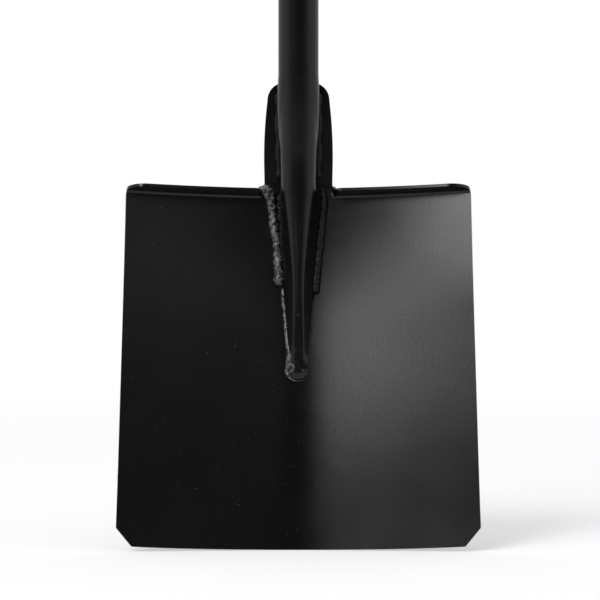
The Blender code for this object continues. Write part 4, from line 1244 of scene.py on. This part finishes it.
points = []
top_height = spine_frame(TONGUE_TOP)[0].z + TOP_BEAD_RADIUS + GAP * 0.5
top_reach = TUBE_RADIUS + TOP_BEAD_RADIUS * 0.8
for angle in between(-TOP_BEAD_ANGLE, TOP_BEAD_ANGLE, TOP_BEAD_STEPS):
    y = SHAFT_Y + top_reach * math.cos(angle)
    points.append((top_reach * math.sin(angle), y, top_height))
radii = [TOP_BEAD_RADIUS * rounded_ends(t, 0.08) for t in between(0.0, 1.0, TOP_BEAD_STEPS)]
lay_bead("tongue_top_bead_finished", points, radii, {"Seed": 17.0}, weld_coat, "weld_tongue_top")

# %% [markdown]
# ## Turned pieces
# Washers, rivets, rings and the sleeve are all turned: a profile goes once round an axis. Blender
# has a Screw modifier for that, but a short function that writes the rings itself can put the
# piece straight in its place, and its profile stays a plain list of radius and height.

# %% The lathe
TURN_SIDES = 96


def mirrored(half):
    """A profile from its upper half."""
    return half + [(radius, -height) for radius, height in reversed(half)]


def round_edge(radius, height, size, steps):
    """A quarter circle that rounds the outer edge of a profile."""
    edge = []
    for i in range(steps + 1):
        angle = math.pi / 2 * i / steps
        edge.append((radius - size * (1 - math.sin(angle)), height - size * (1 - math.cos(angle))))
    return edge


def lathe(name, profile, centre, axis, finish, sides=TURN_SIDES):
    """A turned piece from (radius, place along the axis) points.

    A profile that stays off the axis is closed to a ring.
    """
    along = Vector([letter == axis for letter in "XYZ"])
    first = Vector((1, 0, 0)) if axis == "Z" else Vector((0, 0, 1))
    second = along.cross(first)
    bm = bmesh.new()
    rings = []
    for radius, height in profile:
        count = sides if radius > 0 else 1
        ring = []
        for i in range(count):
            angle = 2 * math.pi * i / count
            spoke = radius * (math.cos(angle) * first + math.sin(angle) * second)
            ring.append(bm.verts.new(Vector(centre) + height * along + spoke))
        rings.append(ring)
    pairs = list(zip(rings, rings[1:]))
    if len(rings[0]) > 1:
        pairs.append((rings[-1], rings[0]))
    for a, b in pairs:
        for i in range(sides):
            j = (i + 1) % sides
            corners = [a[i % len(a)], a[j % len(a)], b[j % len(b)], b[i % len(b)]]
            bm.faces.new(list(dict.fromkeys(corners)))
    bmesh.ops.recalc_face_normals(bm, faces=bm.faces)
    mesh = mesh_of(bm, name)
    mesh.shade_smooth()
    mesh.set_sharp_from_angle(angle=math.radians(35))
    mesh.materials.append(finish)
    return add_piece(name, mesh)


# %% [markdown]
# ## Moulded plastic, rubber and zinc
# The frame of the grip is glass-filled nylon. Its mould was spark-eroded, so the surface has a fine
# even grain, and the two halves of the mould leave a thin line all round. The sleeve and the soft
# ring are rubber: duller, with a finer grain. The rivets and washers are zinc plated: bright metal
# with a faint pattern of grains and a bluish tint that changes from grain to grain.


# %% The three finishes of the grip
def moulded_plastic(name, tone):
    material, board, place = new_material(name)
    _, depth, _ = board.apart(place)
    grain = noise(board, place, 0.0006, detail=2.0)
    flow = noise(board, place, 0.020, detail=3.0)
    seam = 1 - board.smooth(board.math("ABSOLUTE", depth - SHAFT_Y), 0.00010, 0.00028)
    low, high = (tone, tone, tone, 1), (tone * 1.35, tone * 1.35, tone * 1.4, 1)
    colour = board.blend_colours(board.smooth(flow, 0.35, 0.70), low, high)
    roughness = 0.46 + 0.12 * (flow - 0.5) + 0.10 * (grain - 0.5) - 0.08 * seam
    finish_material(board, colour, roughness, grain + 6 * seam, 0.000022, {"IOR": 1.5})
    return material


def soft_rubber(name, tone):
    material, board, place = new_material(name)
    grain = noise(board, place, 0.0004, detail=1.0)
    bloom = noise(board, place, 0.012, detail=4.0)
    low, high = (tone, tone, tone, 1), (tone * 1.5, tone * 1.5, tone * 1.55, 1)
    colour = board.blend_colours(board.smooth(bloom, 0.40, 0.75), low, high)
    roughness = 0.70 + 0.14 * (bloom - 0.5) + 0.08 * (grain - 0.5)
    finish_material(board, colour, roughness, grain, 0.000020, {"IOR": 1.5})
    return material


def zinc_plate(name):
    material, board, place = new_material(name)
    cells = board.add("ShaderNodeTexVoronoi", None, {"Vector": place, "Scale": 600.0}, out="Color")
    tint, _, _ = board.apart(cells)
    haze = noise(board, place, 0.006, detail=4.0)
    colour = board.blend_colours(tint, (0.52, 0.54, 0.57, 1), (0.62, 0.62, 0.60, 1))
    hazy = board.smooth(haze, 0.45, 0.75) * 0.5
    colour = board.blend_colours(hazy, colour, (0.42, 0.44, 0.50, 1))
    roughness = 0.30 + 0.10 * tint + 0.14 * (haze - 0.5)
    finish_material(board, colour, roughness, haze + 0.4 * tint, 0.000030, {"Metallic": 1.0})
    return material


moulded = moulded_plastic("moulded_nylon", 0.018)
rubber = soft_rubber("sleeve_rubber", 0.022)
zinc = zinc_plate("zinc_plate")
print("finishes:", moulded.name, rubber.name, zinc.name)

# %% [markdown]
# ## The frame of the grip
# The frame is one moulding: a collar for the tube, a fork, and two round eyes for the crossbar. Its
# forms flow into each other, which is what a subdivision surface does best: a coarse cage of a few
# rings is rounded off into collar and arms. The eyes have to stay truly round, so they are turned
# and joined on. Remeshing the joined body and smoothing it a little leaves the small fillets that a
# mould has in such corners. The bores come last, so that they stay crisp.

# %% Measures of the grip
GRIP_WIDTH = 0.134
COLLAR_RADIUS = 0.0190
CROTCH_HEIGHT = 0.098
ARM_WIDTH = 0.0180
ARM_DEPTH = 0.0250
ARM_PATH = ((0.24, 0.10, 1.15), (0.60, 0.30, 1.0), (0.89, 0.56, 0.92), (1.00, 0.80, 0.80))
COLLAR_CAGE = 1.2
ARM_CAGE = 1.12
COLLAR_LAND = 0.0040
SHOULDER_DROP = 0.0080
BOSS_RADIUS = 0.0160
BOSS_WIDTH = 0.0155
BOSS_EDGE = 0.0022
BOSS_INSET = 0.0008
BAR_RADIUS = 0.0090
BAR_SEAT = 0.0080
RIVET_RADIUS = 0.0040
WASHER_RADIUS = 0.0090
SPOT_FACE = 0.0010
COLLAR_RIVET_RADIUS = 0.0025
BAR_HEIGHT = OVERALL_LENGTH - BOSS_RADIUS
EYE_MIDDLE = GRIP_WIDTH / 2 - BOSS_WIDTH / 2
COLLAR_RIVET_Z = COLLAR_MOUTH + 0.030
BAR_CENTRE = (0, SHAFT_Y, BAR_HEIGHT)
RIVET_CENTRE = (0, SHAFT_Y, COLLAR_RIVET_Z)


# %% The cage of half the fork
def cage_rings():
    """Rings of the half cage: three in the collar, one in the crotch and five up the arm."""
    side = COLLAR_RADIUS * COLLAR_CAGE * math.cos(math.pi / 6)
    front = COLLAR_RADIUS * COLLAR_CAGE
    neck, crotch = COLLAR_MOUTH + COLLAR_DEPTH, COLLAR_MOUTH + CROTCH_HEIGHT
    depth = ARM_DEPTH / 2 * ARM_CAGE
    stem = [(0, side, z, z, front, front / 2) for z in (COLLAR_MOUTH, COLLAR_MOUTH + COLLAR_LAND)]
    stem.append((0, side, neck - COLLAR_LAND, neck - COLLAR_LAND, front, front / 2))
    low = crotch - COLLAR_LAND
    stem.append((0, side, low, low - SHOULDER_DROP, depth, depth / 2))
    arm = []
    for out, up, thick in ARM_PATH:
        x, z = mix(side, EYE_MIDDLE, out), mix(crotch, BAR_HEIGHT, up)
        half = ARM_WIDTH * ARM_CAGE * thick / 2
        arm.append((x - half, x + half, z + half * (1 - out), z - half * (1 - out), depth, depth))
    half = BOSS_WIDTH / 2 - BOSS_INSET
    arm.append((EYE_MIDDLE - half, EYE_MIDDLE + half, BAR_HEIGHT, BAR_HEIGHT, depth, depth))
    return stem, arm


def cage_mesh():
    stem, arm = cage_rings()
    bm = bmesh.new()
    rows = []
    for inner, outer, low, high, depth, corner in stem + arm:
        places = [(inner, -depth, low), (outer, -corner, high)]
        places += [(outer, corner, high), (inner, depth, low)]
        rows.append([bm.verts.new((x, SHAFT_Y + y, z)) for x, y, z in places])
    for number, (a, b) in enumerate(zip(rows, rows[1:])):
        for i in range(4 if number >= len(stem) - 1 else 3):
            j = (i + 1) % 4
            bm.faces.new((a[i], a[j], b[j], b[i]))
    bm.faces.new(rows[0])
    bm.faces.new(rows[-1])
    bmesh.ops.recalc_face_normals(bm, faces=bm.faces)
    crease = bm.edges.layers.float.new("crease_edge")
    for edge in bm.edges:
        if all(end in rows[0] for end in edge.verts):
            edge[crease] = 1.0
    return mesh_of(bm, "grip_frame_finished")


# %% The round tools that join and cut
def eye_profile():
    rim = round_edge(BOSS_RADIUS, BOSS_WIDTH / 2, BOSS_EDGE, 8)
    return mirrored([(0, BOSS_WIDTH / 2)] + rim)


def drill_profile():
    """Washer seat, rivet hole and pocket for the bar, through both eyes."""
    spot = GRIP_WIDTH / 2 - SPOT_FACE
    pocket = GRIP_WIDTH / 2 - BOSS_WIDTH + BAR_SEAT + GAP
    seat, hole, bar = WASHER_RADIUS + GAP, RIVET_RADIUS + GAP, BAR_RADIUS + GAP
    half = [(0, GRIP_WIDTH), (seat, GRIP_WIDTH), (seat, spot)]
    return mirrored(half + [(hole, spot), (hole, pocket), (bar, pocket)])


def pin_profile(radius, reach, low=None):
    low = -reach if low is None else low
    return [(0, reach), (radius, reach), (radius, low), (0, low)]


def combine(item, tool, operation):
    modifier = item.modifiers.new(f"{operation.lower()}_{tool.name}", "BOOLEAN")
    modifier.operation = operation
    modifier.solver = "EXACT"
    modifier.object = tool


def without_slivers(mesh):
    """Takes away the faces without area that a cut leaves behind; says what is still open."""
    bm = bmesh.new()
    bm.from_mesh(mesh)
    bmesh.ops.triangulate(bm, faces=[face for face in bm.faces if len(face.verts) > 4])
    bmesh.ops.dissolve_degenerate(bm, dist=1e-6, edges=bm.edges)
    loose = [edge for edge in bm.edges if len(edge.link_faces) != 2]
    bm.to_mesh(mesh)
    bm.free()
    print(mesh.name, "has", len(loose), "edges without two faces")


# %% Mould the frame
FRAME_GRAIN = 0.0011  # size of the remeshed faces
DRILL_REACH = 0.04

grip = add_piece("grip_frame_finished", cage_mesh())
grip.data.materials.append(moulded)
mirror = grip.modifiers.new("both_arms", "MIRROR")
mirror.use_axis = (True, False, False)
mirror.use_clip = True
mirror.merge_threshold = 0.0001
flow = grip.modifiers.new("soft_form", "SUBSURF")
flow.levels = 3
flow.render_levels = 3
tools = []
for number, side in enumerate((-1, 1)):
    centre = (side * EYE_MIDDLE, SHAFT_Y, BAR_HEIGHT)
    tools.append(lathe(f"eye_{number}", eye_profile(), centre, "X", moulded))
    combine(grip, tools[-1], "UNION")
grain = grip.modifiers.new("even_faces", "REMESH")
grain.mode = "VOXEL"
grain.voxel_size = FRAME_GRAIN
grain.use_smooth_shade = True
fillets = grip.modifiers.new("fillets", "SMOOTH")
fillets.factor = 0.5
fillets.iterations = 7
bore = pin_profile(TUBE_RADIUS + GAP, COLLAR_DEPTH + GAP, -COLLAR_DEPTH)
tools.append(lathe("bore", bore, (0, SHAFT_Y, COLLAR_MOUTH), "Z", moulded))
drill = pin_profile(COLLAR_RIVET_RADIUS + GAP, DRILL_REACH)
tools.append(lathe("rivet_hole", drill, RIVET_CENTRE, "Y", moulded, 48))
tools.append(lathe("eye_drill", drill_profile(), BAR_CENTRE, "X", moulded))
for tool in tools[2:]:
    combine(grip, tool, "DIFFERENCE")
bake(grip)
without_slivers(grip.data)
for tool in tools:
    bpy.data.objects.remove(tool, do_unlink=True)
grip.data.set_sharp_from_angle(angle=math.radians(50))
stand_for(grip, "moulded_plastic", "grip_frame")

# %% [markdown]
# ## The sleeve
# The hand turns on a rubber sleeve with a slightly swollen middle. Low ribs run along it so that it
# doesn't slip in a wet glove. One rib is drawn as a line that follows the swelling and ends in
# round points, and it is instanced round the bar. Their number, width and height stay inputs.

# %% The body of the sleeve
SLEEVE_RADIUS = 0.0143
SLEEVE_WAIST = 0.0134
SLEEVE_LIP = 0.0156
SLEEVE_END = GRIP_WIDTH / 2 - BOSS_WIDTH - GAP
LIP_WIDTH = 0.0040
LIP_SLOPE = 0.0016
LIP_EDGE = 0.001
LIP_CHAMFER = (0.0004, 0.0006)  # how much is off in radius and in width
SLEEVE_SIDE = SLEEVE_END - LIP_WIDTH - LIP_SLOPE

lip = round_edge(SLEEVE_LIP, SLEEVE_END, LIP_EDGE, 6)
lip += [(SLEEVE_LIP, SLEEVE_END - LIP_WIDTH + LIP_CHAMFER[1])]
lip += [(SLEEVE_LIP - LIP_CHAMFER[0], SLEEVE_END - LIP_WIDTH), (SLEEVE_WAIST, SLEEVE_SIDE)]
middle = []
for t in between(-1, 1, 40)[1:-1]:
    middle.append((mix(SLEEVE_RADIUS, SLEEVE_WAIST, t * t), -SLEEVE_SIDE * t))
under = [(radius, -height) for radius, height in reversed(lip)]
inside = [(BAR_RADIUS + GAP, -SLEEVE_END), (BAR_RADIUS + GAP, SLEEVE_END)]
sleeve = lathe("grip_sleeve_finished", lip + middle + under + inside, BAR_CENTRE, "X", rubber)
print("sleeve faces:", len(sleeve.data.polygons))

# %% The ribs as a tree
RIB_SIZES = {
    "Ribs": 20,
    "Rib length": 2 * SLEEVE_SIDE - 0.004,
    "Rib width": 0.0024,
    "Rib height": 0.0006,
}


def rib_tree():
    board, geometry, size = start_tree("grip_ribs", RIB_SIZES)
    half = size["Rib length"] * 0.5
    ends = {"Start": board.together(half * -1, 0.0, 0.0), "End": board.together(half, 0.0, 0.0)}
    line = board.add("GeometryNodeCurvePrimitiveLine", None, ends)
    line = board.add("GeometryNodeResampleCurve", {"mode": "COUNT"}, {"Curve": line, "Count": 41})
    x, _, _ = board.apart(board.add("GeometryNodeInputPosition"))
    share = x / SLEEVE_SIDE
    barrel = board.blend(SLEEVE_RADIUS, SLEEVE_WAIST, share * share)
    sunk = size["Rib width"] * 0.5 - size["Rib height"]
    lifted = board.together(x, 0.0, barrel - sunk)
    line = board.add("GeometryNodeSetPosition", None, {"Geometry": line, "Position": lifted})
    near_end = board.math("ABSOLUTE", x) / half
    taper = board.math("SQRT", board.math("MAXIMUM", 1 - near_end**24, 0.02))
    circle = {"Resolution": 16, "Radius": size["Rib width"] * 0.5}
    ring = board.add("GeometryNodeCurvePrimitiveCircle", None, circle)
    rib = board.add(
        "GeometryNodeCurveToMesh",
        None,
        {"Curve": line, "Profile Curve": ring, "Scale": taper, "Fill Caps": True},
    )
    spots = board.add("GeometryNodePoints", None, {"Count": size["Ribs"], "Position": BAR_CENTRE})
    turn = board.add("GeometryNodeInputIndex") * (2 * math.pi) / size["Ribs"]
    rotation = board.together(turn, 0.0, 0.0)
    placing = {"Points": spots, "Instance": rib, "Rotation": rotation}
    ribs = board.add("GeometryNodeInstanceOnPoints", None, placing)
    both = board.add("GeometryNodeJoinGeometry", None, {"Geometry": geometry})
    board.tree.links.new(ribs.socket, both.socket.node.inputs["Geometry"])
    return end_tree(board, both, size["Finish"])


use_tree(sleeve, rib_tree(), {**RIB_SIZES, "Finish": rubber})
bake(sleeve)
sleeve.data.set_sharp_from_angle(angle=math.radians(50))
stand_for(sleeve, "soft_sleeve", "grip_sleeve")

# %% [markdown]
# ## Rivets, washers and the soft ring
# A long rivet ties fork and crossbar together and a short one holds the collar on the tube. Their
# heads were pressed to low domes over washers. Domes and discs with soft edges need no more than a
# good profile.

# %% Rivets
HEAD_RADIUS = 0.0072
HEAD_HEIGHT = 0.0030
WASHER_THICKNESS = 0.0012
COLLAR_HEAD_RADIUS = 0.0048
COLLAR_HEAD_HEIGHT = 0.0020
COLLAR_WASHER_RADIUS = 0.0062
COLLAR_WASHER_THICKNESS = 0.0008
HEAD_EDGE = 0.0003
WASHER_EDGE = 0.00022


def rivet_profile(radius, head, height, under_head):
    half = []
    for i in range(17):
        angle = math.pi / 2 * i / 16
        half.append((head * math.sin(angle), under_head + height * math.cos(angle)))
    return mirrored(half + [(head - HEAD_EDGE, under_head), (radius, under_head)])


under_head = GRIP_WIDTH / 2 - SPOT_FACE + WASHER_THICKNESS + 2 * GAP
profile = rivet_profile(RIVET_RADIUS, HEAD_RADIUS, HEAD_HEIGHT, under_head)
long_rivet = lathe("crossbar_rivet_finished", profile, BAR_CENTRE, "X", zinc, 64)
stand_for(long_rivet, "zinc_plated_steel", "crossbar_rivet")
under_head = COLLAR_RADIUS + COLLAR_WASHER_THICKNESS + 2 * GAP
profile = rivet_profile(COLLAR_RIVET_RADIUS, COLLAR_HEAD_RADIUS, COLLAR_HEAD_HEIGHT, under_head)
short_rivet = lathe("collar_rivet_finished", profile, RIVET_CENTRE, "Y", zinc, 64)
stand_for(short_rivet, "zinc_plated_steel", "collar_rivet")


# %% Washers
def add_washer(node, centre, axis, side, seat, bore_radius, radius, thickness):
    low, high = sorted((side * seat, side * (seat + thickness)))
    profile = [(bore_radius, low), (radius, low), (radius, high), (bore_radius, high)]
    item = lathe(node + "_finished", profile, centre, axis, zinc)
    soften(item, WASHER_EDGE, segments=3)
    bake(item)
    stand_for(item, "zinc_plated_steel", node)


crossbar_seat = GRIP_WIDTH / 2 - SPOT_FACE + GAP
washer = (crossbar_seat, RIVET_RADIUS + GAP, WASHER_RADIUS, WASHER_THICKNESS)
for node, side in (("crossbar_washer_left", -1), ("crossbar_washer_right", 1)):
    add_washer(node, BAR_CENTRE, "X", side, *washer)
bore_radius = COLLAR_RIVET_RADIUS + GAP
washer = (COLLAR_RADIUS + GAP, bore_radius, COLLAR_WASHER_RADIUS, COLLAR_WASHER_THICKNESS)
for node, side in (("collar_washer_front", -1), ("collar_washer_back", 1)):
    add_washer(node, RIVET_CENTRE, "Y", side, *washer)

# %% The soft ring under the collar
RING_HEIGHT = 0.0050
RING_THICKNESS = 0.0030

inner = TUBE_RADIUS + GAP
profile = []
for i in range(16):
    angle = math.pi / 2 * i / 16
    profile.append((inner + RING_THICKNESS * math.cos(angle), -GAP - RING_HEIGHT * math.sin(angle)))
profile += [(inner, -GAP - RING_HEIGHT), (inner, -GAP)]
ring = lathe("collar_ring_finished", profile, (0, SHAFT_Y, COLLAR_MOUTH), "Z", rubber)
stand_for(ring, "soft_sleeve", "collar_ring")

# %% [markdown]
# ## Pieces that stay as they are
# The crossbar's tube sits inside the sleeve and the plug inside the shaft. Their solids are already
# what they are, so they only get their finish.

# %% Finish the hidden pieces
for node, finish in (("crossbar_tube", zinc), ("shaft_plug", moulded)):
    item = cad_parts[node]
    for slot in item.material_slots:
        slot.material = finish
    print(node, "is finished in", finish.name)

# %% [markdown]
# ## Size of the dressed model
# The dressed model has to stay inside the box of the solids, so both boxes are printed.

# %% Print the sizes
new_low, new_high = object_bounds()
sizes = {
    "cad": [list(cad_low), list(cad_high)],
    "visual": [list(new_low), list(new_high)],
}
print("solids", sizes["cad"], "dressed", sizes["visual"])
